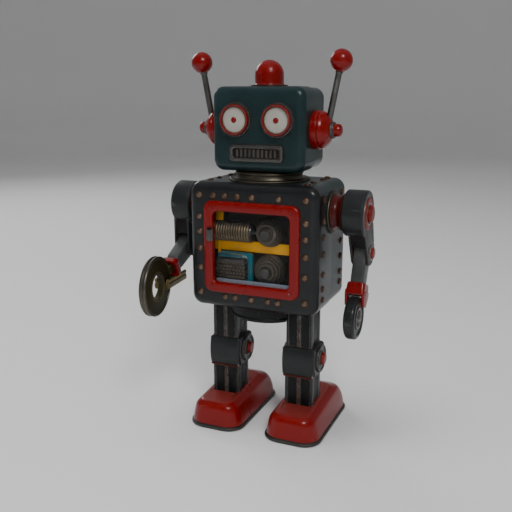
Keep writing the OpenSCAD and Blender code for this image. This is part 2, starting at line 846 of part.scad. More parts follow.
module forearm_right() {
  color("#7c7f80") at_elbow(-1, right_lean, right_slope)
    forearm_shape(right_cuff_s, right_cuff_e - 3.7);
}

// Cuff whose two cheeks hold the hand between them on the wrist pin
module cuff_left() {
  inside = hand_t / 2 + 0.6;
  half = cuff_w / 2;
  deep = left_cuff_d / 2 - 0.6;
  low = 3.2;
  color("#b9302a") at_elbow(1, left_lean, left_slope) {
    cuff_shape(left_cuff_s, left_cuff_e, left_cuff_d);
    for (x = [-half, inside])
      slab_x(x, x + half - inside)
        polygon([[-deep, -left_cuff_e + 2], [deep, -left_cuff_e + 2], [deep, -left_cuff_e - 0.6],
          [low, -left_cheek_e], [-low, -left_cheek_e], [-deep, -left_cuff_e - 0.6]]);
    rod_x(-half, half, 0, -wrist_s, wrist_r);
  }
}

module cuff_right() {
  color("#b9302a") difference() {
    at_elbow(-1, right_lean, right_slope) cuff_shape(right_cuff_s, right_cuff_e, 12.4);
    at_key() rotate([right_rise, 0, 0])
      box(-clip_half, clip_half, bow_r - 3, bow_r + clip_l, -3, 3);
  }
}

// Round hand with its hole, swinging on the wrist pin
module ring_hand() {
  color("#494c4e") at_elbow(1, left_lean, left_slope) difference() {
    rod_x(-hand_t / 2, hand_t / 2, 0, -left_hand_s, hand_r);
    rod_x(-hand_t, hand_t, 0, -left_hand_s, hand_hole_r);
    rod_x(-hand_t, hand_t, 0, -wrist_s, wrist_r + fit);
  }
}

// Places a key part: X across the bow, Y along the stem, Z up
module at_key() {
  in_frame() translate([-arm_x, key_y, key_z]) rotate([0, 0, key_yaw]) children();
}

// Two leaf fingers that grip the rim of the bow, on a block inside the right cuff
module key_clip() {
  grip = bow_t / 2 + 0.15;
  color("#6d7072") at_key() rotate([right_rise, 0, 0]) difference() {
    box(-clip_half, clip_half, bow_r - 2.4, bow_r + clip_l, -3, 3);
    box(-grip, grip, bow_r - 3, bow_r + 0.5, -4, 4);
  }
}

module key_bow() {
  half = bow_t / 2;
  color("#8d7b45") at_key() rotate([0, 90, 0]) rotate_extrude()
    polygon([[bow_hole_r, -half + 0.5], [bow_hole_r + 0.5, -half], [bow_hole_r + 1.2, -half],
      [bow_hole_r + 1.6, -half + 0.5], [bow_r - 1.6, -half + 0.5], [bow_r - 1.2, -half],
      [bow_r - 0.6, -half], [bow_r, -half + 0.8], [bow_r, half - 0.8], [bow_r - 0.6, half],
      [bow_r - 1.2, half], [bow_r - 1.6, half - 0.5], [bow_hole_r + 1.6, half - 0.5],
      [bow_hole_r + 1.2, half], [bow_hole_r + 0.5, half], [bow_hole_r, half - 0.5]]);
}

// Folded stem that straddles the bow, with a groove on top and the square socket in its end
module key_stem() {
  half = stem_w / 2;
  notches = 14;
  socket = square_w + 0.1;
  socket_z = -0.6;
  color("#97854d") at_key() translate([0, 0, -stem_drop]) difference() {
    box(-half, half, stem_t0, stem_t1, -stem_h / 2, stem_h / 2);
    box(-half + 1.9, half - 1.9, stem_t0 - 1, stem_t1 + 1, 1.4, stem_h);
    box(-socket / 2, socket / 2, stem_t1 - 16, stem_t1 + 1, socket_z - socket / 2,
      socket_z + socket / 2);
    translate([0, 0, stem_drop]) rod_x(-bow_t / 2 - 0.02, bow_t / 2 + 0.02, 0, 0, bow_r + 0.05);
    for (i = [0:notches - 1], s = [-1, 1]) {
      t = stem_t0 + 1.6 + i * 1.9;
      box(s * half - 0.35, s * half + 0.35, t, t + 0.6, -stem_h, stem_h);
    }
  }
}

// ---------- Legs ----------

module at_leg(s) {
  in_frame() side(s) translate([leg_x, leg_y, 0]) children();
}

// Sunk panels and the middle groove on the front of a leg tube
module leg_relief(w, front, z0, z1) {
  panel = w / 2 - 3.6;
  for (s = [-1, 1])
    box(s > 0 ? 1.5 : -1.5 - panel, s > 0 ? 1.5 + panel : -1.5, front - 1, front + 0.5, z0, z1);
  box(-0.6, 0.6, front - 1, front + 0.8, z0 - 1, z1 + 1);
}

// Upper leg: tube, knee housing open at the back, and the slotted lever above the hip
module upper_leg(s) {
  top = hip_z + 4;
  z0 = knee_z0;
  z1 = knee_z1;
  color("#3f4244") at_leg(s) difference() {
    union() {
      translate([0, 0, z1 - 0.1]) linear_extrude(top - z1) rrect(thigh_w, thigh_d, 2);
      slab_x(-1, 1)
        polygon([[-6, top - 1], [6, top - 1], [7.4, top + 6], [7.4, 112], [5.5, 114],
          [-5.5, 114], [-7.4, 112], [-7.4, top + 6]]);
      slab_x(-knee_w / 2, knee_w / 2) intersection() {
        translate([knee_bulge_r - 11, (z0 + z1) / 2]) circle(knee_bulge_r);
        translate([-20, z0]) square([31.5, z1 - z0]);
      }
    }
    translate([0, 0, z1 + 1.2]) linear_extrude(top - z1 - 2.6)
      rrect(thigh_w - 2 * tin, thigh_d - 2 * tin, 1);
    slab_x(-knee_w / 2 + 1, knee_w / 2 - 1) intersection() {
      translate([knee_bulge_r - 11, (z0 + z1) / 2]) circle(knee_bulge_r - 0.9);
      translate([-20, z0 - 1]) square([40, z1 - z0]);
    }
    slab_x(-2, 2) translate([0, low_z]) square([11.6, 8.8], center = true);
    rod_x(-thigh_w, thigh_w, 0, hip_z, hip_pin_r + fit);
    rod_x(-knee_w, knee_w, knee_dy, knee_z, knee_pin_r);
    leg_relief(thigh_w, -thigh_d / 2, z1 + 1, hip_z - 10);
  }
}

// Knee pin with a steel disc and a red cap at each end
module knee_pin(s) {
  half = knee_w / 2;
  color("#a3352c") at_leg(s) {
    rod_x(-half, half, knee_dy, knee_z, knee_pin_r);
    for (e = [-1, 1]) {
      rod_x(e > 0 ? half : -half - 1.3, e > 0 ? half + 1.3 : -half, knee_dy, knee_z, 9.2);
      rod_x(e > 0 ? half + 1.3 : -half - 3.4, e > 0 ? half + 3.4 : -half - 1.3, knee_dy, knee_z,
        4);
    }
  }
}

module lower_leg(s) {
  foot_z = 15;
  color("#44474a") at_leg(s) difference() {
    union() {
      slab_x(-shin_w / 2, shin_w / 2) translate([knee_dy, knee_z]) circle(tongue_r);
      translate([0, 0, foot_z]) linear_extrude(knee_z - foot_z) rrect(shin_w, shin_d, 1.5);
      slab_x(-6, 6) {
        translate([0, ankle_z]) circle(4.5);
        translate([-4.5, ankle_z]) square([9, foot_z - ankle_z + 1]);
      }
    }
    translate([0, 0, foot_z + 1.2]) linear_extrude(knee_z - foot_z - 6)
      rrect(shin_w - 2 * tin, shin_d - 2 * tin, 1);
    rod_x(-shin_w, shin_w, knee_dy, knee_z, knee_pin_r + fit);
    rod_x(-shin_w, shin_w, 0, ankle_z, ankle_r + fit);
    leg_relief(shin_w, -shin_d / 2, foot_z + 1, knee_z - 9);
  }
}

// One level of the shoe's form: inset from the sole's outline, at height z under the heel_y line
// and falling towards the toe
module shoe_level(z, inset, front_inset, back_inset) {
  y0 = sole_y0 + 1.2 + inset + front_inset;
  y1 = sole_y1 - 1.2 - inset - back_inset;
  w = sole_w - 2.4 - 2 * inset;
  middle = (y0 + y1) / 2;
  fall = shoe_fall * (z - sole_t) / (foot_h - sole_t);
  multmatrix([[1, 0, 0, foot_x], [0, 1, 0, middle], [0, fall, 1, z + fall * (middle - heel_y)]])
    linear_extrude(0.01) rrect(w, y1 - y0, max(2.5, sole_r - 1.2 - inset * 0.9), $fn = 32);
}

module shoe_form(shrink, z0, z1) {
  hull() {
    shoe_level(z0, shrink, 0, 0);
    shoe_level(10, 1.1 + shrink, -0.8, 0.6);
    shoe_level(z1 * 0.75, 2.6 + shrink, -1.8, 4);
    shoe_level(z1 - 2.4, 4.6 + shrink, -2.9, 8.6);
    shoe_level(z1, 7.2 + shrink, -3.2, 11.5);
  }
}

// Hollow shoe with a slot for the leg and the ankle pin across its inside
module shoe(s) {
  slot_w = shin_w + 2 * 0.35;
  slot_d = shin_d + 2 * 1.9;
  color("#c22f1c") in_frame() side(s) {
    difference() {
      shoe_form(0, sole_t, foot_h);
      shoe_form(1.3, sole_t - 1, foot_h - 1.3);
      translate([leg_x, leg_y, foot_h]) cube([slot_w, slot_d, 14], center = true);
    }
    rod_x(leg_x - 13, leg_x + 13, leg_y, ankle_z, ankle_r);
    for (x = [leg_x - 14.2, leg_x + 13])
      box(x, x + 1.2, leg_y - 3.5, leg_y + 3.5, sole_t, ankle_z + 2.5);
  }
}

module sole(s) {
  color("#5b5e60") in_frame() side(s) translate([foot_x, (sole_y0 + sole_y1) / 2, 0])
    linear_extrude(sole_t) rrect(sole_w, sole_y1 - sole_y0, sole_r);
}

module upper_leg_left() { upper_leg(1); }
module upper_leg_right() { upper_leg(-1); }
module knee_pin_left() { knee_pin(1); }
module knee_pin_right() { knee_pin(-1); }
module lower_leg_left() { lower_leg(1); }
module lower_leg_right() { lower_leg(-1); }
module shoe_left() { shoe(1); }
module shoe_right() { shoe(-1); }
module sole_left() { sole(1); }
module sole_right() { sole(-1); }

body_front_shell();
body_rear_shell();
body_rivets();
window_frame();
window_screws();
window_pane();
neck_collar();
waist_dish();
shoulder_bushings();
movement_front_plate();
movement_rear_plate();
yellow_bridge();
motor_casing();
fin_block();
floor_plate();
spring_barrel();
mainspring();
hip_pins();
great_wheel();
lower_drum();
upper_wheel();
upper_drum();
winding_arbor();
click();
coil_drum();
crankshaft();
stop_lever();
head_front_shell();
head_rear_shell();
dome();
eye_rings();
eye_rims();
eye_discs();
mouth_grille();
ear_cap_left();
ear_cap_right();
antenna_left();
antenna_right();
upper_arm_left();
arm_pins_left();
forearm_left();
cuff_left();
ring_hand();
upper_arm_right();
arm_pins_right();
forearm_right();
cuff_right();
key_clip();
key_bow();
key_stem();
upper_leg_left();
upper_leg_right();
knee_pin_left();
knee_pin_right();
lower_leg_left();
lower_leg_right();
shoe_left();
shoe_right();
sole_left();
sole_right();
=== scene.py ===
"""Looks of the tin wind-up robot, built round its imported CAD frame.

Lengths are in millimetres, measured from the body's seam plane, and become metres when a piece is made.
"""
import math
import random

import bmesh
import bpy
from mathutils import Matrix, Vector


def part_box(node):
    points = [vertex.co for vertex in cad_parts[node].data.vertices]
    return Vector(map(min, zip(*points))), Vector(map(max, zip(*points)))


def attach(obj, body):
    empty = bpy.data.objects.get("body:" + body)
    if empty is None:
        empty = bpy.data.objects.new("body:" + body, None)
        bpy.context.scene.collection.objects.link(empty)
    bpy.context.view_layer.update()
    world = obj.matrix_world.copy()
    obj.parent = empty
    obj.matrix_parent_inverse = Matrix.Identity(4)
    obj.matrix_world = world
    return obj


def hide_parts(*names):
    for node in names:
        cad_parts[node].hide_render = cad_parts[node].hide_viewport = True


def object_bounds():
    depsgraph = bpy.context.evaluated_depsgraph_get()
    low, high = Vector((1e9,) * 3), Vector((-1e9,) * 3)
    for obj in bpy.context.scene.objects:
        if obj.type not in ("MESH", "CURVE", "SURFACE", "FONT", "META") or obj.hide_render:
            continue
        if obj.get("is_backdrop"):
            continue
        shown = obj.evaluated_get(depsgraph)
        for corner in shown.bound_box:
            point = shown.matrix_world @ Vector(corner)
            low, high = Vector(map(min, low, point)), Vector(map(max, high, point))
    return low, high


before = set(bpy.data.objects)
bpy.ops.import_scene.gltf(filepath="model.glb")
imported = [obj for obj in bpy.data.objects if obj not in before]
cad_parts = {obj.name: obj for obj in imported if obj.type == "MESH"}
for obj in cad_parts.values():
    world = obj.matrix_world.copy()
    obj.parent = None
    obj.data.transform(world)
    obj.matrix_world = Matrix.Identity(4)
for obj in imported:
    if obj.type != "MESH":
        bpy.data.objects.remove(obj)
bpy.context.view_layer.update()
scene = bpy.context.scene
random.seed(7)

MM = 0.001
SEAM = Vector((0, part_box("body_front_shell")[1].y, 0))
ORIGIN = (0, 0, 0)
X, Y, Z = (1, 0, 0), (0, 1, 0), (0, 0, 1)
FORWARDS = (0, -1, 0)
SIDES = (("left", 1), ("right", -1))


def box(node):
    """Lowest and highest corner of a CAD node, in millimetres from the seam plane."""
    low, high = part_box(node)
    return (low - SEAM) / MM, (high - SEAM) / MM


def middle(node):
    low, high = box(node)
    return (low + high) / 2


# ---------- Materials ----------

class Look:
    """One material: its shader and the nodes that feed it."""

    def __init__(self, name):
        self.made = bpy.data.materials.new(name)
        self.made.use_nodes = True
        self.tree = self.made.node_tree
        self.coords = self.add("ShaderNodeTexCoord").outputs["Object"]

    def add(self, kind, values=None, **settings):
        """A new node with its settings, and with numbers, colours or other nodes' outputs as inputs."""
        node = self.tree.nodes.new(kind)
        for key, value in settings.items():
            setattr(node, key, value)
        self.feed(node, values or {})
        return node

    def feed(self, node, values):
        for key, value in values.items():
            socket = node.inputs[key]
            if isinstance(value, bpy.types.NodeSocket):
                self.tree.links.new(value, socket)
            elif socket.type == "RGBA":
                socket.default_value = (*value, 1.0)
            else:
                socket.default_value = value

    def shade(self, **values):
        """Sets the shader's inputs, named with _ for each space, and returns the material."""
        inputs = {key.replace("_", " "): value for key, value in values.items()}
        self.feed(self.tree.nodes["Principled BSDF"], inputs)
        return self.made

    def noise(self, scale, detail=4.0, rough=0.55, coords=None):
        where = self.coords if coords is None else coords
        values = {"Vector": where, "Scale": scale, "Detail": detail, "Roughness": rough}
        return self.add("ShaderNodeTexNoise", values).outputs["Fac"]

    def spread(self, value, low, high, to_low=0.0, to_high=1.0):
        """Maps a value's range onto another one, held at its ends."""
        values = {"Value": value, "From Min": low, "From Max": high, "To Min": to_low,
                  "To Max": to_high}
        return self.add("ShaderNodeMapRange", values).outputs["Result"]

    def maths(self, operation, a, b):
        made = self.add("ShaderNodeMath", {0: a, 1: b}, operation=operation, use_clamp=True)
        return made.outputs[0]

    def times(self, a, b):
        return self.maths("MULTIPLY", a, b)

    def mixed(self, factor, a, b):
        """Colour a where factor is 0 and colour b where it is 1."""
        made = self.add("ShaderNodeMix", data_type="RGBA")
        first, second = [i for i, s in enumerate(made.inputs) if s.type == "RGBA"]
        self.feed(made, {"Factor": factor, first: a, second: b})
        return [s for s in made.outputs if s.type == "RGBA"][0]

    def edges(self, radius):
        """1 along convex and concave edges, 0 on flat ground."""
        bevel = self.add("ShaderNodeBevel", {"Radius": radius}, samples=6)
        flat = self.add("ShaderNodeNewGeometry")
        normals = {0: bevel.outputs["Normal"], 1: flat.outputs["Normal"]}
        dot = self.add("ShaderNodeVectorMath", normals, operation="DOT_PRODUCT")
        return self.spread(dot.outputs["Value"], 0.982, 0.88)

    def occlusion_shade(self, distance):
        """From ambient occlusion: 1 deep in corners and gaps, 0 on open ground; the colours lay painted
        shade there.
        """
        occlusion = self.add("ShaderNodeAmbientOcclusion", {"Distance": distance}, samples=6)
        return self.spread(occlusion.outputs["AO"], 0.62, 0.2)

    def streaks(self, turn, threshold):
        """Thin scratches in one direction, as a mask."""
        mapping = self.add("ShaderNodeMapping", {"Vector": self.coords, "Rotation": turn,
                                                 "Scale": (25.0, 900.0, 60.0)})
        lines = self.noise(1.0, 2.0, 0.5, mapping.outputs["Vector"])
        return self.spread(lines, threshold, threshold + 0.03)

    def bump(self, height, strength):
        made = self.add("ShaderNodeBump", {"Height": height, "Strength": strength,
                                           "Distance": 0.0003})
        return made.outputs["Normal"]


def darker(colour, factor):
    return tuple(min(1.0, c * factor) for c in colour)


def paint(name, colour, bare=(0.33, 0.33, 0.32), rough=0.3, wear=0.8, shade_and_dirt=0.8, scratch=0.25,
          dust=None, coat=0.14, rust=(0.13, 0.055, 0.025), tone=0.25, second=None, edge=0.0009):
    """Stove enamel on tinplate: worn edges, painted shade mixed with grime and rust in the corners,
    scratches and grain.
    """
    look = Look(name)
    clouds = look.noise(55.0, 5.0)
    specks = look.noise(420.0, 4.0, 0.65)
    base = look.mixed(look.spread(clouds, 0.3, 0.7), darker(colour, 1 - tone),
                      darker(colour, 1 + tone))
    if second:
        other, axis, low, high = second
        place = look.add("ShaderNodeSeparateXYZ", {0: look.coords})
        base = look.mixed(look.spread(place.outputs[axis], low, high), base, other)
    if dust:
        pale, up, amount = dust
        normal = look.add("ShaderNodeNewGeometry").outputs["Normal"]
        facing = look.add("ShaderNodeSeparateXYZ", {0: normal}).outputs["Z"]
        layer = look.times(look.spread(facing, up, 1.0, 0.0, amount),
                           look.spread(specks, 0.3, 0.7, 0.5, 1.0))
        base = look.mixed(layer, base, pale)
    # Corners and gaps darken towards the rust colour: painted shade, mixed with grime in specks.
    shade_and_grime = look.times(look.occlusion_shade(0.0035), look.spread(specks, 0.35, 0.6, 0.35 * shade_and_dirt, shade_and_dirt))
    base = look.mixed(shade_and_grime, base, rust)
    rim = look.times(look.edges(edge), look.spread(specks, 0.62 - 0.3 * wear, 0.72 - 0.3 * wear))
    chips = look.spread(look.noise(190.0, 6.0, 0.7), 0.76, 0.78)
    lines = look.maths("MAXIMUM", look.streaks((0.3, 0.5, 0.9), 0.72),
                       look.streaks((1.2, -0.4, 0.2), 0.73))
    worn = look.maths("MAXIMUM", rim, look.times(look.maths("MAXIMUM", lines, chips), scratch))
    relief = look.maths("SUBTRACT", look.times(look.noise(1100.0, 2.0), 0.25),
                        look.times(worn, 0.3))
    return look.shade(
        Base_Color=look.mixed(worn, base, bare), Metallic=look.times(rim, 0.7),
        Roughness=look.maths("ADD", look.spread(clouds, 0.3, 0.7, rough - 0.02, rough + 0.05),
                             look.times(shade_and_grime, 0.4)),
        Specular_IOR_Level=0.21, Coat_Weight=coat, Coat_Roughness=0.12,
        Normal=look.bump(relief, 0.07))


def metal(name, colour, rough=0.38, tarnish=(0.06, 0.045, 0.03), shade_and_dirt=0.9, bright=1.7, patches=0.5):
    """Bare metal: tarnish in patches, painted shade mixed with darker tarnish and grime in the corners,
    bright rubbed edges and fine scratches.
    """
    look = Look(name)
    clouds = look.noise(90.0, 6.0, 0.65)
    specks = look.noise(520.0, 4.0, 0.7)
    base = look.mixed(look.spread(clouds, 0.35, 0.7, 0.0, patches), colour, tarnish)
    # Corners and gaps darken towards a darker tarnish: painted shade, mixed with grime in specks.
    shade_and_grime = look.times(look.occlusion_shade(0.0025), look.spread(specks, 0.3, 0.55, 0.5 * shade_and_dirt, shade_and_dirt))
    base = look.mixed(shade_and_grime, base, darker(tarnish, 0.6))
    rim = look.times(look.edges(0.0006), look.spread(specks, 0.35, 0.5))
    rubbed = look.maths("MAXIMUM", rim, look.times(look.streaks((0.5, 0.2, 0.7), 0.66), 0.3))
    return look.shade(
        Base_Color=look.mixed(rubbed, base, darker(colour, bright)), Metallic=0.9,
        Roughness=look.maths("ADD", look.spread(clouds, 0.3, 0.7, rough - 0.08, rough + 0.18),
                             look.times(shade_and_grime, 0.35)),
        Normal=look.bump(specks, 0.3))


def clear(name):
    """Thin clear sheet with faint smears."""
    look = Look(name)
    smears = look.noise(70.0, 5.0, 0.6)
    return look.shade(Roughness=look.spread(smears, 0.3, 0.7, 0.03, 0.12),
                      Alpha=look.spread(smears, 0.3, 0.8, 0.03, 0.10),
                      Base_Color=(0.03, 0.035, 0.04))


RED = paint("red_enamel", (0.155, 0.0012, 0.0012), bare=(0.22, 0.05, 0.04), rough=0.27, wear=0.15,
            shade_and_dirt=0.6, scratch=0.06, coat=0.2, rust=(0.03, 0.005, 0.003), tone=0.05,
            edge=0.0003)
SHOE = paint("shoe_enamel", (0.165, 0.002, 0.0014), bare=(0.34, 0.15, 0.12), rough=0.28, wear=0.1,
             shade_and_dirt=0.6, scratch=0.2, coat=0.2, rust=(0.04, 0.008, 0.004), tone=0.05, edge=0.0003,
             dust=((0.22, 0.07, 0.06), 0.80, 0.45))
RIM_RED = paint("rim_enamel", (0.13, 0.006, 0.004), bare=(0.20, 0.13, 0.11), rough=0.4, wear=0.9,
                shade_and_dirt=0.9, rust=(0.05, 0.012, 0.008))
BLACK = paint("body_black", (0.010, 0.011, 0.0115), bare=(0.16, 0.165, 0.16), wear=0.35,
              scratch=0.08, second=((0.014, 0.025, 0.026), 1, SEAM.y - 0.022, SEAM.y - 0.016))
TEAL = paint("body_teal", (0.014, 0.025, 0.026), bare=(0.20, 0.19, 0.16), rough=0.36, wear=0.7,
             scratch=0.2)
HEAD = paint("head_teal", (0.009, 0.022, 0.024), bare=(0.18, 0.20, 0.19), rough=0.3, wear=0.4,
             scratch=0.10)
GUN = paint("gunmetal", (0.014, 0.0155, 0.016), bare=(0.24, 0.24, 0.23), rough=0.36, wear=0.9,
            scratch=0.12)
GREY = paint("arm_grey", (0.050, 0.053, 0.053), bare=(0.28, 0.27, 0.25), rough=0.4, wear=0.9,
             scratch=0.25, tone=0.35)
# Near-black paint: the own colour of the leg panels and arm webs, and painted shade on the waist dish,
# the screw crosses and the mouth's shadow sheet.
DARK = paint("dark_paint_and_shade", (0.006, 0.0065, 0.0065), rough=0.45, wear=0.2, scratch=0.05, coat=0.0)
GROOVE = paint("rusty_groove", (0.075, 0.038, 0.020), rough=0.6, wear=0.3, coat=0.0)
SPOOL = paint("spool_red", (0.055, 0.005, 0.004), bare=(0.12, 0.045, 0.035), rough=0.32, wear=0.3)
CAP = paint("cap_red", (0.15, 0.006, 0.004), bare=(0.38, 0.20, 0.17), rough=0.34, wear=0.7,
            rust=(0.06, 0.02, 0.01))
YELLOW = paint("bridge_yellow", (0.90, 0.42, 0.0), bare=(0.4, 0.28, 0.10), rough=0.32, wear=0.4,
               rust=(0.10, 0.04, 0.01), tone=0.12)
CASING = paint("casing_teal", (0.001, 0.12, 0.155), bare=(0.22, 0.28, 0.26), rough=0.3, wear=0.4)
FLOOR_BLUE = paint("floor_blue", (0.16, 0.20, 0.27), bare=(0.4, 0.4, 0.4), rough=0.45, wear=0.5)
INSIDE = paint("inside_brown", (0.014, 0.010, 0.008), bare=(0.12, 0.08, 0.05), rough=0.5, coat=0.0)
WHITE = paint("eye_white", (0.33, 0.315, 0.28), bare=(0.40, 0.36, 0.28), rough=0.3, wear=0.2,
              shade_and_dirt=0.75, scratch=0.12, rust=(0.14, 0.09, 0.05), tone=0.08)
STEEL = metal("old_steel", (0.26, 0.26, 0.25), 0.36)
DARK_STEEL = metal("dark_steel", (0.10, 0.10, 0.097), 0.4, shade_and_dirt=0.8, patches=0.4, bright=2.8)
SOLE = metal("sole_steel", (0.075, 0.075, 0.073), 0.42, shade_and_dirt=0.7, bright=3.0, patches=0.4)
COPPER = metal("rivet_copper", (0.13, 0.065, 0.040), 0.46, tarnish=(0.05, 0.025, 0.016), bright=1.3)
# Pale rivet crowns: partly worn metal, partly a painted highlight on each dome.
PALE_WEAR_AND_HIGHLIGHT = metal("rivet_wear_and_highlight", (0.21, 0.16, 0.115), 0.36, tarnish=(0.07, 0.04, 0.026), patches=0.9)
NECK = metal("neck_brass", (0.10, 0.088, 0.066), 0.38, tarnish=(0.04, 0.032, 0.024), bright=2.4)
KEY = metal("key_brass", (0.15, 0.118, 0.052), 0.42, tarnish=(0.05, 0.036, 0.016), bright=2.6)
KHAKI = metal("coil_brass", (0.34, 0.27, 0.17), 0.42, tarnish=(0.09, 0.065, 0.04), bright=1.6)
# Darker bronze; in the drums' grooves it is painted shade.
DRUM = metal("drum_bronze", (0.105, 0.092, 0.072), 0.36, tarnish=(0.045, 0.035, 0.025), bright=3.4)
DARK_BRONZE = metal("dark_bronze", (0.040, 0.034, 0.026), 0.42, bright=4.0)
KEY_FACE = paint("key_olive", (0.020, 0.016, 0.005), bare=(0.34, 0.27, 0.12), rough=0.5, wear=1.0,
                 scratch=0.15, coat=0.0, rust=(0.02, 0.015, 0.008))
KEY_RIM = metal("key_rim", (0.10, 0.093, 0.075), 0.34, tarnish=(0.05, 0.045, 0.035), bright=2.2)
GEAR = metal("gear_brass", (0.50, 0.34, 0.12), 0.35)
CLEAR = clear("window_clear")


# ---------- Shapes ----------

def rounded(points, radius, steps=4, closed=True):
    """The outline with its corners turned into arcs. A third number on a point is its own radius."""
    count = len(points)
    out = []
    for i, point in enumerate(points):
        corner = Vector(point[:2])
        before = Vector(points[i - 1][:2]) - corner
        after = Vector(points[(i + 1) % count][:2]) - corner
        reach = 0
        if closed or 0 < i < count - 1:
            own = point[2] if len(point) > 2 else radius
            bend = before.angle(after, math.pi)
            reach = own / math.tan(bend / 2) if bend > 0.01 else 0
            reach = min(reach, before.length * 0.48, after.length * 0.48)
        if reach < 1e-4:
            out.append(corner)
            continue
        start = corner + before.normalized() * reach
        end = corner + after.normalized() * reach
        for k in range(steps + 1):
            t = k / steps
            out.append(start * (1 - t) ** 2 + corner * (2 * t * (1 - t)) + end * t ** 2)
    return out


def rect(x0, y0, x1, y1, radius, steps=4):
    """Rectangle with round corners, from one corner to the other."""
    return rounded([(x0, y0), (x1, y0), (x1, y1), (x0, y1)], radius, steps)


def ring(w, h, r, cx=0.0, cy=0.0, arc=10, side=6):
    """Outline of a rectangle with round corners: always the same number of points."""
    r = min(r, w / 2 - 0.01, h / 2 - 0.01)
    corners = ((1, 1), (-1, 1), (-1, -1), (1, -1))
    centres = [Vector((cx + sx * (w / 2 - r), cy + sy * (h / 2 - r))) for sx, sy in corners]
    out = []
    for k in range(4):
        for i in range(arc + 1):
            a = math.pi / 2 * (k + i / arc)
            out.append(centres[k] + r * Vector((math.cos(a), math.sin(a))))
        goal = centres[(k + 1) % 4] + r * Vector((math.cos(a), math.sin(a)))
        last = out[-1]
        out += [last.lerp(goal, i / side) for i in range(1, side)]
    return out


def inset(outline, depth):
    """The outline moved inwards along its own normals."""
    count = len(outline)
    area = sum(outline[i - 1].cross(outline[i]) for i in range(count))
    sign = 1 if area > 0 else -1
    out = []
    for i, point in enumerate(outline):
        along = outline[(i + 1) % count] - outline[i - 1]
        out.append(point + sign * depth * Vector((-along.y, along.x)).normalized())
    return out


def two_circles(c0, r0, c1, r1, steps=20):
    """Outline wrapped round two circles."""
    c0, c1 = Vector(c0), Vector(c1)
    apart = c1 - c0
    heading = math.atan2(apart.y, apart.x)
    half = math.acos(max(-1, min(1, (r0 - r1) / apart.length)))
    out = []
    for centre, radius, start, end in ((c1, r1, -half, half), (c0, r0, half, 2 * math.pi - half)):
        for k in range(steps + 1):
            a = heading + start + (end - start) * k / steps
            out.append(centre + radius * Vector((math.cos(a), math.sin(a))))
    return out


def quarter(steps):
    """Points of a rounded edge as shares of its radius, from (1, 0) to (0, 1)."""
    turns = [math.pi / 2 * k / steps for k in range(steps + 1)]
    return [(1 - math.sin(a), 1 - math.cos(a)) for a in turns]


def xz(u, v, d):
    return Vector((u, d, v))


def yz(u, v, d):
    return Vector((d, u, v))


def xy(u, v, d):
    return Vector((u, v, d))


def flat(plane, outline, d):
    """The outline as a loop of points on a plane at one depth."""
    return [plane(p[0], p[1], d) for p in outline]


class Shape:
    """A mesh in the making. Each method adds a solid and returns the shape."""

    def __init__(self):
        self.bm = bmesh.new()

    def skin(self, rows, closed):
        """Faces between neighbouring rows of vertices. A row of one vertex is a tip."""
        pairs = list(zip(rows, rows[1:]))
        if closed:
            pairs.append((rows[-1], rows[0]))
        for a, b in pairs:
            count = max(len(a), len(b))
            for i in range(count if count > 1 else 0):
                j = (i + 1) % count
                if len(a) == 1:
                    self.bm.faces.new((a[0], b[j], b[i]))
                elif len(b) == 1:
                    self.bm.faces.new((a[i], a[j], b[0]))
                else:
                    self.bm.faces.new((a[i], a[j], b[j], b[i]))

    def loft(self, loops, caps=True, closed=False):
        """Skins a row of loops with the same number of points."""
        rows = [[self.bm.verts.new(p) for p in loop] for loop in loops]
        self.skin(rows, closed)
        if caps and not closed:
            self.bm.faces.new(rows[0])
            self.bm.faces.new(rows[-1])
        return self

    def slab(self, outline, plane, d0, d1, edge=0.4, steps=3):
        """A flat plate between two depths, with rounded edges."""
        outline = [Vector(p) for p in outline]
        levels = [(edge * s, d0 + edge * c) for s, c in quarter(steps)]
        levels += [(edge * c, d1 - edge * s) for s, c in quarter(steps)]
        return self.loft([flat(plane, inset(outline, i) if i else outline, d) for i, d in levels])

    def lathe(self, profile, origin=ORIGIN, axis=Z, radius=0.3, steps=72, closed=False,
              ripple=None):
        """Turns a profile of (radius, height) points round an axis, with its corners rounded."""
        axis = Vector(axis).normalized()
        side = axis.orthogonal().normalized()
        other = axis.cross(side)
        rows = []
        for p in rounded(profile, radius, 3, closed):
            centre = Vector(origin) + axis * p.y
            if p.x < 1e-4:
                rows.append([self.bm.verts.new(centre)])
                continue
            row = []
            for k in range(steps):
                a = 2 * math.pi * k / steps
                r = p.x + (ripple(a, p) if ripple else 0)
                spoke = math.cos(a) * side + math.sin(a) * other
                row.append(self.bm.verts.new(centre + r * spoke))
            rows.append(row)
        self.skin(rows, closed)
        for row in () if closed else (rows[0], rows[-1]):
            if len(row) > 1:
                self.bm.faces.new(row)
        return self

    def rod(self, r, start, end, origin=ORIGIN, axis=X, radius=0.1, steps=36):
        """Round bar along an axis."""
        profile = [(0, start), (r, start), (r, end), (0, end)]
        return self.lathe(profile, origin, axis, radius, steps)

    def tube(self, path, radius, around=12):
        """Round wire along a path of points."""
        path = [Vector(p) for p in path]
        up = Vector((0.13, 0.27, 0.95))
        turns = [2 * math.pi * k / around for k in range(around)]
        loops = []
        for i, p in enumerate(path):
            along = (path[min(i + 1, len(path) - 1)] - path[max(i - 1, 0)]).normalized()
            side = along.cross(up).normalized()
            other = along.cross(side)
            loops.append([p + radius * (math.cos(t) * side + math.sin(t) * other) for t in turns])
        return self.loft(loops)

    def block(self, low, high, edge=0.3):
        """Box with rounded edges."""
        low, high = Vector(low), Vector(high)
        size, centre = high - low, (low + high) / 2
        corners = ring(size.x, size.y, max(edge, 0.05), centre.x, centre.y, 3, 1)
        return self.slab(corners, xy, low.z, high.z, edge, 2)


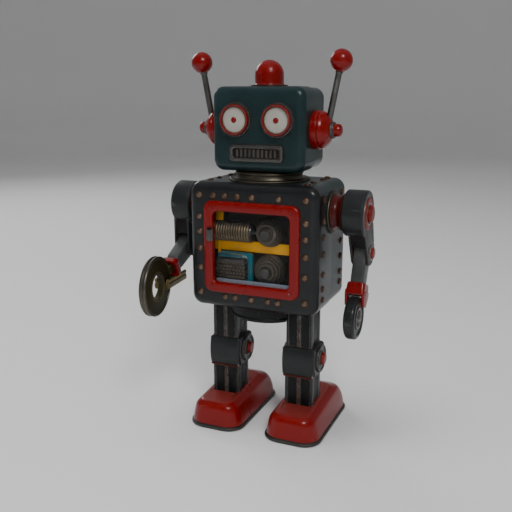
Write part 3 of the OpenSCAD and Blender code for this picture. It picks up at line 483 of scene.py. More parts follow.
def solid(name, shape, place=None):
    """The shape as an object in the shared frame. A mirroring place keeps its faces outwards."""
    bmesh.ops.recalc_face_normals(shape.bm, faces=shape.bm.faces)
    mesh = bpy.data.meshes.new(name)
    shape.bm.to_mesh(mesh)
    shape.bm.free()
    if place is not None:
        mesh.transform(place)
        if place.determinant() < 0:
            mesh.flip_normals()
    mesh.transform(Matrix.Translation(SEAM) @ Matrix.Scale(MM, 4))
    obj = bpy.data.objects.new(name, mesh)
    scene.collection.objects.link(obj)
    return obj


def carve(obj, shape, place):
    """Takes the shape's volume out of the object."""
    cutter = solid("cutter", shape, place)
    boolean = obj.modifiers.new("cut", "BOOLEAN")
    boolean.operation = "DIFFERENCE"
    boolean.solver = "MANIFOLD"
    boolean.object = cutter
    bpy.context.view_layer.update()
    seen = obj.evaluated_get(bpy.context.evaluated_depsgraph_get())
    result = bpy.data.meshes.new_from_object(seen)
    obj.modifiers.clear()
    obj.data = result
    bpy.data.objects.remove(cutter)
    level = obj.modifiers.new("level", "WEIGHTED_NORMAL")
    level.keep_sharp = True


def piece(name, shape, material, body, slot, node=None, place=None, angle=32.0, cut=None):
    """Makes a piece from its shape, in the place of a CAD node or beside it, fixed to its CAD body."""
    obj = solid(name, shape, place)
    if cut is not None:
        carve(obj, cut, place)
    obj.data.polygons.foreach_set("use_smooth", [True] * len(obj.data.polygons))
    obj.data.set_sharp_from_angle(angle=math.radians(angle))
    obj.data.materials.clear()
    obj.data.materials.append(material)
    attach(obj, body)
    if node:
        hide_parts(node)


def sided(side, body, place=None):
    """A maker of pieces on one body, whose names and nodes end in the side."""
    def make(name, shape, material, slot, node=None, cut=None):
        node = node and f"{node}_{side}"
        piece(f"{name}_{side}", shape, material, body, slot, node, place, cut=cut)
    return make


def finish_node(name, material, bevel=0.25):
    """Keeps a CAD node, with a better material and softened edges."""
    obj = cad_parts[name]
    obj.data.materials.clear()
    obj.data.materials.append(material)
    if bevel:
        soft = obj.modifiers.new("edge", "BEVEL")
        soft.width = bevel * MM
        soft.segments = 2
        soft.limit_method = "ANGLE"
        soft.angle_limit = math.radians(40)


# ---------- Body ----------

TIN = 1.0


def shell(name, node, w, h, r, middle_z, y_open, y_end, fillet, material, body, slot, hole=None,
          cut=None):
    """Pressed half shell, open at one depth and rolled over into its face at the other."""
    out = 1 if y_end > y_open else -1

    def at(y, inward):
        corner = max(r - inward * 0.8, 0.8)
        return flat(xz, ring(w - 2 * inward, h - 2 * inward, corner, 0, middle_z), y)

    def roll(tin):
        bend = fillet - tin
        return [at(y_end - out * (tin + bend * s), tin + bend * c) for s, c in quarter(7)]

    lip = 0.35
    outer = [at(y_open, lip), at(y_open + out * lip, 0)] + roll(0)
    inner = roll(TIN)[::-1] + [at(y_open, TIN)]
    shape = Shape()
    if hole:
        edge = [flat(xz, hole, y_end - out * d) for d in (0.0, TIN)]
        shape.loft(outer + edge + inner, closed=True)
    else:
        shape.loft(inner + outer, caps=False)
        rims = [e for e in shape.bm.edges if e.is_boundary]
        bmesh.ops.holes_fill(shape.bm, edges=rims, sides=0)
    piece(name, shape, material, body, slot, node, cut=cut)


def leg_slots():
    """Cutter for the two holes that the legs come out of."""
    cutter = Shape()
    for s in (-1, 1):
        leg = s * (middle("shoe_left").x - 0.6)
        cutter.block((leg - 9.5, -16.5, 72), (leg + 9.5, 7.5, 90), 0.05)
    return cutter


def body_shells():
    low, high = box("body_front_shell")
    w, h = high.x - low.x, high.z - low.z
    mid = (low.z + high.z) / 2
    f_low, f_high = box("window_frame")
    opening = ring(f_high.x - f_low.x - 9.4, f_high.z - f_low.z - 9.4, 3, 0,
                   (f_low.z + f_high.z) / 2)
    shell("front_shell", "body_front_shell", w, h, 7, mid, high.y - 0.15, low.y, 5, BLACK,
          "body", "front_black", hole=opening, cut=leg_slots())
    rear_low, rear_high = box("body_rear_shell")
    square = middle("winding_arbor")
    keyhole = (square.x, 0, square.z)
    back = rear_high.y
    cutter = leg_slots().rod(4.2, back - 6, back + 2, keyhole, Y, 0.0, 72)
    shell("rear_shell", "body_rear_shell", w - 0.5, h - 0.5, 7, mid, rear_low.y + 0.15, back, 5,
          TEAL, "body", "body_teal", cut=cutter)
    rim = Shape().lathe([(4.2, 0), (6.4, 0), (6.2, 0.7), (4.6, 1.0), (4.2, 0.6)],
                        (square.x, back - 0.05, square.z), Y, 0.2, closed=True)
    piece("keyhole_ring", rim, STEEL, "body", "bare_steel")


def islands(node):
    """Lowest and highest corners of each separate solid in a CAD node."""
    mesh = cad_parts[node].data
    parent = list(range(len(mesh.vertices)))

    def find(i):
        while parent[i] != i:
            parent[i] = parent[parent[i]]
            i = parent[i]
        return i

    seen = {}
    for v in mesh.vertices:
        key = tuple(round(c, 6) for c in v.co)
        parent[v.index] = seen.setdefault(key, v.index)
    for e in mesh.edges:
        parent[find(e.vertices[0])] = find(e.vertices[1])
    groups = {}
    for v in mesh.vertices:
        groups.setdefault(find(v.index), []).append((v.co - SEAM) / MM)
    corners = [[Vector([pick(p[i] for p in points) for i in range(3)]) for pick in (min, max)]
               for points in groups.values()]
    return sorted(corners, key=lambda pair: tuple(pair[0]))


def rivets():
    """Domed rivets with a pale middle, partly worn metal and partly a painted highlight, one on each CAD
    rivet.
    """
    rim, crown = Shape(), Shape()
    inside = Vector((0, 0, middle("body_front_shell").z))
    for low, high in islands("body_rivets"):
        size, base = high - low, (low + high) / 2
        across = min(range(3), key=lambda i: size[i])
        outward = 1 if base[across] > inside[across] else -1
        axis = Vector(ORIGIN)
        axis[across] = outward
        base[across] = low[across] if outward > 0 else high[across]
        r = random.uniform(1.98, 2.14)
        base += Vector([random.uniform(-0.12, 0.12) if i != across else 0 for i in range(3)])
        rim.lathe([(r, -0.2), (r, 0.16), (r * 0.90, 0.42), (r * 0.70, 0.66), (r * 0.6, 0.4)],
                  base, axis, 0.12, 28)
        crown.lathe([(r * 0.72, 0.3), (r * 0.70, 0.68), (r * 0.52, 0.92), (r * 0.26, 1.05),
                     (0, 1.09)], base, axis, 0.3, 28)
    piece("rivet_rims", rim, COPPER, "body", "copper_rivet", "body_rivets", angle=60)
    # The pale crown on each dome is partly worn metal and partly a painted highlight.
    piece("rivet_crowns", crown, PALE_WEAR_AND_HIGHLIGHT, "body", "copper_rivet", angle=60)


def window():
    """Red frame with its screws, the pane and the pale lip below it."""
    low, high = box("window_frame")
    w, h = high.x - low.x, high.z - low.z
    mid = (low.z + high.z) / 2
    face, border, thick = low.y, 6.2, 2.2

    def at(y, inward, r):
        return flat(xz, ring(w - 2 * inward, h - 2 * inward, r, 0, mid), y)

    loops = [at(face + thick, 0, 5.4)]
    loops += [at(face + 1.5 * s, 1.5 * c, 5.4 - 0.75 * c) for s, c in quarter(4)]
    loops += [at(face + s, border - c, 3.6) for s, c in quarter(4)[::-1]]
    loops += [at(high.y, border, 3.6), at(high.y, border - 1, 3.6)]
    surround = Shape().loft(loops, closed=True)
    piece("window_surround", surround, RED, "body", "red_paint", "window_frame")
    screws, crosses = Shape(), Shape()
    for s_low, s_high in islands("window_screws"):
        c = (s_low + s_high) / 2
        screws.lathe([(1.4, 0), (1.35, 0.2), (1.0, 0.34), (0, 0.36)], (c.x, face, c.z), FORWARDS,
                     0.15, 28)
        # Each cross is a raised dark bar: painted shade for the screw's slot.
        turn = random.uniform(0, math.pi)
        for a in (turn, turn + math.pi / 2):
            along = Vector((0.8 * math.cos(a), 0, 0.8 * math.sin(a)))
            hub = Vector((c.x, face - 0.30, c.z))
            crosses.tube([hub - along, hub, hub + along], 0.11, 6)
    piece("screw_heads", screws, RED, "body", "red_paint", "window_screws")
    piece("screw_crosses", crosses, DARK, "body", "bare_steel")
    finish_node("window_pane", CLEAR, 0)
    end, floor_z = w / 2 - border, low.z + border
    strip = [(-27.4, floor_z - 1.0), (-24.9, floor_z - 1.0), (-24.9, floor_z + 1.5),
             (-27.4, floor_z + 0.1)]
    lip = Shape().loft([flat(yz, strip, x) for x in (-end, end)])
    piece("pane_lip", lip, FLOOR_BLUE, "body", "plate_blue")


def neck_and_waist():
    edge = box("neck_collar")[1]
    flange = edge.x
    start = (0, 0, box("body_front_shell")[1].z)
    rise = edge.z - start[2]
    collar = Shape().lathe(
        [(12, -1.5), (24.6, -0.3), (flange, 0.1), (flange, 1.0), (24.4, 1.35), (22.2, 0.9),
         (21.2, 1.2), (20.7, 2.6), (20.7, 3.8), (21.3, 4.3), (21.3, 5.0), (20.6, 5.6),
         (12.0, 5.85), (12, rise), (10.4, rise)], start, radius=0.5, steps=96)
    piece("neck_ring", collar, NECK, "body", "neck_brass", "neck_collar")
    low, high = box("waist_dish")
    rise = high.z - low.z - 0.1
    dish = Shape().lathe(
        [(0, 0.3), (21.0, 0.3), (21.5, 0.05), (22.6, 0.3), (23.0, 0.8), (23.8, 0.6),
         (24.6, 1.1), (24.8, 1.9), (25.3, 1.9), (25.5, 2.5), (25.2, 3.2), (24.8, 3.6),
         (24.8, rise), (23.6, rise), (23.4, 3.2), (21, 1.4), (0, 1.4)],
        (0, 0, low.z), radius=0.3, steps=96)
    # The waist dish takes the near-black paint as painted shade, for the shadow under the body.
    piece("waist_plate", dish, DARK, "body", "body_teal", "waist_dish", cut=leg_slots())


def shoulders():
    low, high = box("shoulder_bushings")
    side = box("body_front_shell")[1].x
    z = (low.z + high.z) / 2
    flange, spool = Shape(), Shape()
    for s in (-1, 1):
        start, axis = (s * side, 0, z), (s, 0, 0)
        flange.lathe([(9, 0), (13.2, 0), (13.6, 0.5), (13.4, 1.1), (12.5, 1.45), (11.6, 1.3),
                      (9, 1.3)], start, axis)
        spool.lathe([(9, 1.0), (11.5, 1.3), (10.6, 2.2), (9.7, 3.4), (9.4, 4.4), (9.8, 5.6),
                     (10.9, 6.8), (12.0, 7.6), (12.1, 8.05), (3, 8.05), (3, high.x - side)],
                    start, axis, 0.8)
    piece("shoulder_flanges", flange, NECK, "body", "neck_brass", "shoulder_bushings")
    piece("shoulder_spools", spool, SPOOL, "body", "spool_red")


# ---------- Movement ----------

# Radius and front of each step of a drum, as shares of its radius and depth
LOWER_STEPS = ((1.0, 0.12), (0.88, 0.20), (0.96, 0.31), (0.80, 0.38), (0.88, 0.48), (0.68, 0.54),
               (0.74, 0.64), (0.52, 0.70), (0.58, 0.78), (0.40, 0.85), (0.31, 1.0))
UPPER_STEPS = ((1.0, 0.14), (0.86, 0.24), (0.94, 0.36), (0.76, 0.44), (0.84, 0.54), (0.66, 0.61),
               (0.73, 0.70), (0.50, 0.76), (0.43, 0.84), (0.34, 1.0))


def stepped(name, node, steps, body):
    """Turned drum of knurled steps with a smooth knob at its front. The sunk steps are darker bronze,
    painted shade in the grooves.
    """
    low, high = box(node)
    c = (low + high) / 2
    r, depth = (high.x - low.x) / 2, high.y - low.y
    bright, dark, knob = Shape(), Shape(), Shape()

    def teeth(angle, p):
        return 0.13 * math.cos(52 * angle) if p.x > 0.7 * r else 0.0

    front = 0
    for k, (share, reach) in enumerate(steps):
        outer, end = share * r, reach * depth
        # Every second step is sunk; its darker bronze is painted shade in the groove.
        target = knob if k == len(steps) - 1 else (bright, dark)[k % 2]
        target.lathe([(0, front), (outer, front), (outer, end - 0.25), (outer - 0.3, end),
                      (0, end)], (c.x, high.y, c.z), FORWARDS, 0.15, 208, ripple=teeth)
        front = end - 0.05
    piece(name, bright, DRUM, body, "drum_bronze", node)
    piece(f"{name}_grooves", dark, DARK_BRONZE, body, "drum_bronze")
    piece(f"{name}_knob", knob, DARK_STEEL, body, "drum_bronze")


def coil():
    """Drum wound with thick wire, on its shaft."""
    low, high = box("coil_drum")
    c = (low + high) / 2
    r = (high.z - low.z) / 2
    start, length, wire = low.x + 2.6, 26.0, 0.78
    turns, around, sides = 14, 40, 10
    loops = []
    for k in range(turns * around + 1):
        a = 2 * math.pi * k / around
        x = start + wire + (length - 2 * wire) * k / (turns * around)
        out = Vector((0, math.cos(a), math.sin(a)))
        centre = Vector((x, c.y, c.z)) + (r - wire) * out
        loops.append([centre + wire * (math.cos(t) * out + math.sin(t) * Vector((0.95, 0, 0)))
                      for t in (2 * math.pi * i / sides for i in range(sides))])
    winding = Shape().loft(loops)
    piece("coil_winding", winding, KHAKI, "coil", "drum_bronze", "coil_drum", angle=60)
    core = Shape().lathe([(0, -2.5), (1, -2.5), (1, 0), (r - 1.6, 0), (r - 1.4, 0.5),
                          (r - 1.4, length - 0.5), (r - 1.6, length), (1, length),
                          (1, length + 2.6), (0, length + 2.6)], (start, c.y, c.z), X, 0.1, 48)
    piece("coil_core", core, DARK_STEEL, "coil", "bare_steel")


def casing():
    """Teal casing with its chrome arch and vents."""
    low, high = box("motor_casing")
    outline = rounded([(low.x, low.z), (high.x, low.z), (high.x, high.z, 2.5),
                       (low.x, high.z, 3.5)], 1.0, 8)
    case = Shape().slab(outline, xz, low.y, high.y, 0.7)
    piece("casing_shell", case, CASING, "body", "casing_teal", "motor_casing")
    y = low.y - 0.15
    arch = rounded([(high.x - 2.9, low.z + 0.4), (high.x - 2.9, high.z - 1.0, 4.5),
                    (low.x + 1.4, high.z - 1.0, 3.5), (low.x + 1.4, high.z - 5.0)], 1, 10, False)
    trim = Shape().tube(flat(xz, arch, y), 0.5, 10)
    trim.tube([(p.x - 1.5, y, p.y - 0.4) for p in arch[:9]], 0.28, 8)
    piece("casing_trim", trim, STEEL, "body", "bare_steel")
    vents = Shape()
    for k in range(6):
        x = low.x + 2.2 + k * 2.6
        vents.block((x, low.y - 0.35, low.z + 0.6), (x + 0.9, low.y + 0.2, low.z + 4.6), 0.15)
    piece("casing_vents", vents, CASING, "body", "casing_teal")


def fin_block():
    """Stack of fins with a row of notches on each, and the steel strip on its top."""
    low, high = box("fin_block")
    fins = Shape()
    count, notches = 5, 9
    pitch = (high.z - low.z - 2.4) / count
    for k in range(count):
        z = low.z + k * pitch
        fins.slab(rect(low.x, z + 0.15, high.x, z + pitch - 0.15, 0.7), xz, low.y, high.y, 0.7)
        for j in range(notches):
            x = low.x + 1.6 + j * (high.x - low.x - 3.2) / (notches - 1) + 0.7 * (k % 2)
            fins.block((x - 0.8, low.y, z + pitch - 0.45),
                       (x + 0.5, low.y + 1.2, z + pitch + 0.35), 0.15)
    fins.block((low.x + 0.5, low.y + 1.4, low.z + 0.3), (high.x - 0.5, high.y, high.z - 0.6))
    piece("fin_stack", fins, DRUM, "body", "fin_brass", "fin_block")
    outline = rounded([(low.x + 0.2, high.z - 2.5), (high.x - 0.2, high.z - 2.5),
                       (high.x - 0.8, high.z), (low.x + 0.8, high.z)], 0.7)
    top = Shape().slab(outline, xz, low.y + 0.1, high.y, 0.6)
    piece("fin_top", top, DARK_STEEL, "body", "bare_steel")


def bridge():
    """Yellow strip across the window with its left post and ear."""
    low, high = box("yellow_bridge")
    back = high.y - 1.2
    strip = Shape().block((low.x, back - 1.5, low.z), (high.x, back, low.z + 6.8))
    strip.block((low.x, back, low.z), (low.x + 5.5, high.y, high.z))
    strip.block((low.x + 0.8, low.y, low.z + 10.2), (low.x + 2.4, back, low.z + 17.2))
    strip.block((low.x + 2.6, back - 2.3, low.z - 3.0), (low.x + 4.4, back - 0.5, low.z + 6.6))
    piece("bridge_strip", strip, YELLOW, "body", "bridge_yellow", "yellow_bridge")


def inner_parts():
    for name in ("movement_front_plate", "movement_rear_plate"):
        finish_node(name, INSIDE, 0.2)
    bridge()
    for name, material, slot, bevel in (
            ("floor_plate", FLOOR_BLUE, "plate_blue", 0.3),
            ("spring_barrel", DARK_STEEL, "barrel_steel", 0.3),
            ("mainspring", STEEL, "spring_steel", 0.05),
            ("hip_pins", STEEL, "bare_steel", 0.2), ("great_wheel", GEAR, "gear_brass", 0.06),
            ("upper_wheel", GEAR, "gear_brass", 0.06),
            ("winding_arbor", STEEL, "bare_steel", 0.08), ("click", STEEL, "bare_steel", 0.1),
            ("crankshaft", STEEL, "bare_steel", 0.08)):
        finish_node(name, material, bevel)
    stepped("lower_stack", "lower_drum", LOWER_STEPS, "low_train")
    stepped("upper_stack", "upper_drum", UPPER_STEPS, "up_train")
    coil()
    casing()
    fin_block()


def stop_lever():
    low, high = box("stop_lever")
    tab = Shape().slab(rect(low.x, low.z, high.x, high.z, 0.9), xz, low.y, low.y + 1.4, 0.35)
    tab.block((low.x + 1.0, low.y + 1.0, low.z + 5.0), (low.x + 2.6, high.y, low.z + 7.6), 0.2)
    piece("lever_tab", tab, DARK_STEEL, "stop_lever", "bare_steel", "stop_lever")
    tip = Shape().block((low.x + 0.1, low.y, high.z - 1.7), (high.x - 0.1, low.y + 1.5, high.z),
                        0.35)
    piece("lever_tip", tip, RED, "stop_lever", "red_paint")


# ---------- Head ----------

def head():
    front, rear = box("head_front_shell"), box("head_rear_shell")
    neck = front[0].z
    mid = (neck + front[1].z) / 2
    for name, node, (low, high), y_open, y_end in (
            ("face_shell", "head_front_shell", front, front[1].y, front[0].y),
            ("back_shell", "head_rear_shell", rear, rear[0].y, rear[1].y)):
        hole = Shape().rod(12.1, neck - 3, neck + 5, axis=Z, radius=0.0, steps=72)
        shell(name, node, high.x - low.x, high.z - low.z, 6.5, mid, y_open, y_end, 4.5, HEAD,
              "head", "head_teal", cut=hole)
    low, high = box("dome")
    foot = (0, (low.y + high.y) / 2, low.z)
    rise, r = high.z - low.z, 8.8
    turns = [math.pi / 2 * k / 10 for k in range(10)]
    arc = [(r * math.cos(a), rise - r + r * math.sin(a)) for a in turns]
    cap = Shape().lathe([(0, 0), (9.3, 0), (9.3, 1.2), (8.9, 1.5), (8.8, 2.5)] + arc + [(0, rise)],
                        foot, radius=0.35)
    piece("dome_cap", cap, RED, "head", "red_paint", "dome")
    washer = Shape().lathe([(9.0, 0.02), (11.5, 0.02), (11.45, 0.6), (10.9, 0.95), (10.2, 0.7),
                            (9.0, 1.0)], foot, radius=0.2)
    piece("dome_washer", washer, DARK_BRONZE, "head", "bare_steel")


def eyes():
    low, high = box("eye_rings")
    r = (high.z - low.z) / 2
    steel, red, white, pupil = (Shape() for _ in range(4))

    def milled(angle, p):
        return 0.14 * math.cos(36 * angle) if p.x > 9.7 else 0

    for s in (-1, 1):
        at = (s * (high.x - r), high.y, (low.z + high.z) / 2), FORWARDS
        steel.lathe([(9.2, -0.2), (r, -0.2), (r, 1.3), (r - 0.4, 2.1), (9.2, 2.2)], *at, 0.3, 144,
                    ripple=milled)
        red.lathe([(7.6, 2.6), (7.7, 3.9), (8.1, 4.4), (8.8, 4.35), (9.2, 3.4), (9.25, 0.2),
                   (7.6, 0.2)], *at, 0.3, 96, closed=True)
        white.lathe([(7.7, 2.4), (6.9, 2.75), (4, 3.0), (0, 3.1)], *at, 0.4)
        pupil.lathe([(1.7, 2.9), (1.65, 3.4), (1.1, 3.85), (0, 4.0)], *at, 0.3, 36)
    piece("eye_bezels", steel, GUN, "head", "bare_steel", "eye_rings")
    piece("eye_hoops", red, RIM_RED, "head", "rim_red", "eye_rims")
    piece("eye_faces", white, WHITE, "head", "eye_white", "eye_discs")
    piece("eye_pupils", pupil, RED, "head", "rim_red")


def mouth():
    low, high = box("mouth_grille")
    w, h = high.x - low.x, high.z - low.z
    mid, face = (low.z + high.z) / 2, high.y
    rows = ((0, -0.1, 2.6), (0, 1.2, 2.6), (0.25, 1.7, 2.4), (0.7, 1.95, 2.2), (1.6, 1.95, 1.8),
            (2.1, 1.6, 1.5), (2.3, 0.7, 1.3), (2.4, 0.5, 1.2))
    plate = Shape().loft([flat(xz, ring(w - 2 * inward, h - 2 * inward, r, 0, mid), face - out)
                          for inward, out, r in rows])
    piece("mouth_plate", plate, DARK_STEEL, "head", "bare_steel", "mouth_grille")
    bars = Shape()
    count, pocket = 10, w - 7.4
    for k in range(count):
        x = (k - (count - 1) / 2) * pocket / count
        half = random.uniform(0.70, 0.92)
        top = mid + random.uniform(2.1, 2.5)
        bars.slab(rect(x - half, mid - 2.4, x + half, top, 0.6), xz, face - 1.55, face - 0.4, 0.45)
    piece("mouth_bars", bars, DARK_STEEL, "head", "bare_steel")
    shadow = Shape().slab(ring(w - 4.9, h - 4.9, 1.2, 0, mid), xz, face - 0.62, face - 0.3, 0.05)
    piece("mouth_shadow", shadow, DARK, "head", "bare_steel")


def ears():
    """Ear caps with their collars, and the antennas that turn with them."""
    ear_depth, ball_r, foot_x = 17.0, 6.55, 37.6
    for side, s in SIDES:
        make = sided(side, f"ear_{side}")
        low, high = box(f"ear_cap_{side}")
        c = (low + high) / 2
        at = (s * (max(abs(low.x), abs(high.x)) - ear_depth), c.y, c.z), (s, 0, 0)
        cup = Shape().lathe([(0, 0), (11.5, 0), (11.6, 0.4), (11.6, 3.6), (11.3, 4.0),
                             (10.9, 4.15), (11.2, 4.6), (11.1, 5.4), (10.5, 6.7), (9.4, 8.0),
                             (8.0, 9.2), (6.6, 10.1), (5.3, 10.6), (4.6, 10.7)], *at, 0.5, 96)
        cup.lathe([(4.2, 12.2), (3.8, 12.5), (3.85, 14.8), (3.4, 16.0), (2.2, 16.8),
                   (0, ear_depth)], *at, 0.5, 48)
        make("ear_cup", cup, RED, "red_paint", "ear_cap")
        collar = Shape().lathe([(3.9, 10.3), (4.9, 10.4), (5.1, 10.9), (4.7, 11.4), (5.0, 11.9),
                                (4.7, 12.4), (3.9, 12.6)], *at, 0.2, 60, closed=True)
        make("ear_collar", collar, DARK_STEEL, "bare_steel")
        low, high = box(f"antenna_{side}")
        ball = Vector((s * (max(abs(low.x), abs(high.x)) - ball_r), (low.y + high.y) / 2,
                       high.z - ball_r))
        foot = Vector((s * foot_x, ball.y, c.z))
        along, length = (ball - foot).normalized(), (ball - foot).length
        tip = length - ball_r
        rod = Shape().lathe([(0, 4), (1.9, 4), (1.85, tip - 0.8), (2.3, tip - 0.6),
                             (2.3, tip + 0.3), (0, tip + 0.8)], foot, along, 0.2, 36)
        make("antenna_rod", rod, DARK_STEEL, "bare_steel", "antenna")
        turns = [math.pi * k / 28 for k in range(1, 28)]
        arc = [(ball_r * math.sin(a), length - ball_r * math.cos(a)) for a in turns]
        knob = Shape().lathe([(0, tip)] + arc + [(0, length + ball_r)], foot, along, 0.0, 56)
        make("antenna_ball", knob, RED, "red_paint")


# ---------- Arms ----------

UPPER_ARM = 27.9
KEY_YAW = math.radians(5.45)
KEY_LEAN = math.radians(1.2)
STUD = [(0.75, 0), (0.7, 0.25), (0.35, 0.45), (0, 0.5)]


def limb_place(s, origin, forward):
    """Places a limb built for the left side, hanging from its joint and swung forwards."""
    here = Vector((abs(origin.x), origin.y, origin.z))
    made = Matrix.Translation(here) @ Matrix.Rotation(-forward, 4, "X")
    return made if s > 0 else Matrix.Scale(-1, 4, X) @ made


def arm_joints(side, s):
    """Shoulder and elbow centres, and the two limbs' forward angles."""
    low, high = box(f"upper_arm_{side}")
    outer = max(abs(low.x), abs(high.x))
    shoulder = Vector((s * (outer - 5.5), 0, middle("shoulder_bushings").z))
    elbow_z = box(f"arm_pins_{side}")[0].z + 3.6
    fall = shoulder.z - elbow_z
    lean = math.sqrt(max(UPPER_ARM ** 2 - fall ** 2, 0)) * s
    elbow = Vector((shoulder.x, lean, elbow_z))
    goal = box("ring_hand")[0] + Vector((0, 13.3, 13.3)) if s > 0 else middle("key_bow")
    forearm = math.atan2(elbow.y - goal.y, elbow.z - goal.z) - (0 if s > 0 else KEY_LEAN)
    return shoulder, elbow, -math.atan2(lean, fall), forearm


def upper_arm(side, place):
    """Drum with its channel, webs, studs, caps and washers, down to the elbow."""
    make = sided(side, f"arm_{side}", place)
    half = 5.5
    elbow = (0, 0, -UPPER_ARM)
    channel = Shape().lathe(
        [(3.1, -8.2), (12.6, -8.2), (13.4, -7.9), (14.2, -7.1), (14.2, half - 0.9),
         (13.6, half - 0.1), (12.2, half), (11.4, half - 0.3), (11.0, half - 0.5),
         (3.1, half - 0.5)], ORIGIN, X, 0.5, 96)
    for d in (-half, half - 1.3):
        channel.slab(two_circles((0, 0), 10.2, elbow[1:], 8.2), yz, d, d + 1.3, 0.45)
    make("arm_channel", channel, GUN, "gunmetal", "upper_arm")
    web = Shape()
    for y in (-7.4, 6.2):
        web.block((-half + 0.6, y, -20.4), (half - 0.6, y + 1.2, -9), 0.2)
    make("arm_web", web, DARK, "gunmetal")
    turns = [2 * math.pi * k / 16 for k in range(16)]
    spots = [(6.6 * math.cos(a), 6.6 * math.sin(a) - UPPER_ARM) for a in turns
             if math.sin(a) < 0.7]
    spots += [(e * (8.0 - 0.18 * k), -11.6 - 1.9 * k) for k in range(7) for e in (-1, 1)]
    studs = Shape()
    for y, z in spots:
        studs.lathe(STUD, (half - 0.05, y, z), X, 0.1, 12)
    make("arm_studs", studs, DARK_STEEL, "gunmetal")
    face, elbow_face = (half, 0, 0), (half, 0, -UPPER_ARM)
    caps = Shape().lathe([(4.6, -0.6), (9.7, -0.6), (9.9, -0.1), (9.6, 0.5), (8.9, 0.75),
                          (8.2, 0.5), (6.4, 0.5), (4.6, 0.3)], face, X, 0.25, closed=True)
    caps.lathe([(0, 0), (5.2, 0), (5.25, 1.6), (4.6, 2.7), (3.6, 3.0), (0, 3.0)], face, X, 0.5, 56)
    caps.lathe([(0, 0), (3.6, 0), (3.6, 1.3), (2.9, 2.0), (0, 2.2)], elbow_face, X, 0.4, 48)
    caps.lathe([(0, half + 1.5), (3.6, half + 1.5), (3.4, half + 0.5), (0, half)],
               elbow, (-1, 0, 0), 0.3, 48)
    make("arm_caps", caps, CAP, "cap_red", "arm_pins")
    rings = Shape().lathe([(6.1, 0.2), (6.9, 0.3), (7.0, 0.75), (6.1, 0.75)], face, X, 0.1,
                          closed=True)
    rings.lathe([(3.4, -0.1), (4.9, -0.1), (4.9, 0.5), (3.4, 0.6)], elbow_face, X, 0.2, 48,
                closed=True)
    rings.rod(2.0, -half - 0.2, half + 0.3, elbow)
    make("arm_washers", rings, STEEL, "bare_steel")


def forearm(side, place, cuff_start, cuff_end, cuff_depth, end):
    """Forearm with the cuff's band round its end."""
    make = sided(side, f"forearm_{side}", place)
    outline = two_circles((0, 0), 6.4, (0, -end + 5.2), 5.2)
    arm = Shape().slab([(p.x, max(p.y, -end)) for p in outline], yz, -4.0, 4.0, 1.0)
    make("forearm_arm", arm, GREY, "forearm_grey", "forearm")
    length, width = cuff_end - cuff_start, 12.2
    rows = ((0.0, 3.4), (0.0, 2.0), (0.05, 1.3), (0.15, 1.0), (0.5, 0.6), (0.85, 0.1),
            (0.95, 0.05), (1.0, 0.5), (1.0, 3.2), (0.7, 3.5), (0.3, 3.5))
    loops = [flat(xy, ring(width - thin, cuff_depth - thin, 2.0), -(cuff_start + t * length))
             for t, thin in rows]
    make("cuff_band", Shape().loft(loops, closed=True), RED, "red_paint", "cuff")


def mirrored(half):
    """A closed profile: the given half along one face, then back along the other face."""
    return half + [(r, -d) for r, d in half[::-1]]


def hand(place):
    """The left hand: a grooved disc held between the cuff's two cheeks."""
    outline = rounded([(-6.5, -24.5), (6.5, -24.5), (6.5, -27.6, 1.5), (3.2, -34.3, 1.6),
                       (-3.2, -34.3, 1.6), (-6.5, -27.6, 1.5)], 0.3, 5)
    cheeks = Shape()
    for d in (-6.1, 4.2):
        cheeks.slab(outline, yz, d, d + 1.9, 0.5)
    piece("cuff_cheeks", cheeks, RED, "forearm_left", "red_paint", place=place)
    pin = Shape().rod(1.6, -6.0, 6.0, (0, 0, -31.2), radius=0.2, steps=32)
    piece("wrist_pin", pin, STEEL, "forearm_left", "bare_steel", place=place)
    at = (0, 0, -41.3), X
    half = [(5.5, 2.9), (5.9, 3.4), (6.8, 3.5), (7.4, 2.6), (10.2, 2.6), (10.8, 3.5),
            (11.9, 3.45), (13.0, 2.6), (13.3, 1.9)]
    disc = Shape().lathe(mirrored(half), *at, 0.3, 96, closed=True)
    piece("hand_disc", disc, GUN, "hand_left", "forearm_grey", "ring_hand", place=place)
    bush = Shape().lathe([(5.2, -3.2), (5.2, 3.2), (5.9, 3.45), (6.6, 3.45), (6.6, -3.45),
                          (5.9, -3.45)], *at, 0.2, closed=True)
    piece("hand_bush", bush, STEEL, "hand_left", "forearm_grey", place=place)


def arms():
    for side, s in SIDES:
        shoulder, elbow, lean, turn = arm_joints(side, s)
        upper_arm(side, limb_place(s, shoulder, lean))
        place = limb_place(s, elbow, turn)
        if s > 0:
            forearm(side, place, 19.7, 27.3, 13.6, 27.0)
            hand(place)
        else:
            forearm(side, place, 23.2, 27.9, 12.4, 24.2)
            plug = Shape().block((-4.4, -4.5, -24.95), (4.4, 4.5, -24.3), 0.1)
            piece("cuff_plug", plug, CAP, "forearm_right", "red_paint", place=place)
    finish_node("key_clip", KEY, 0.3)


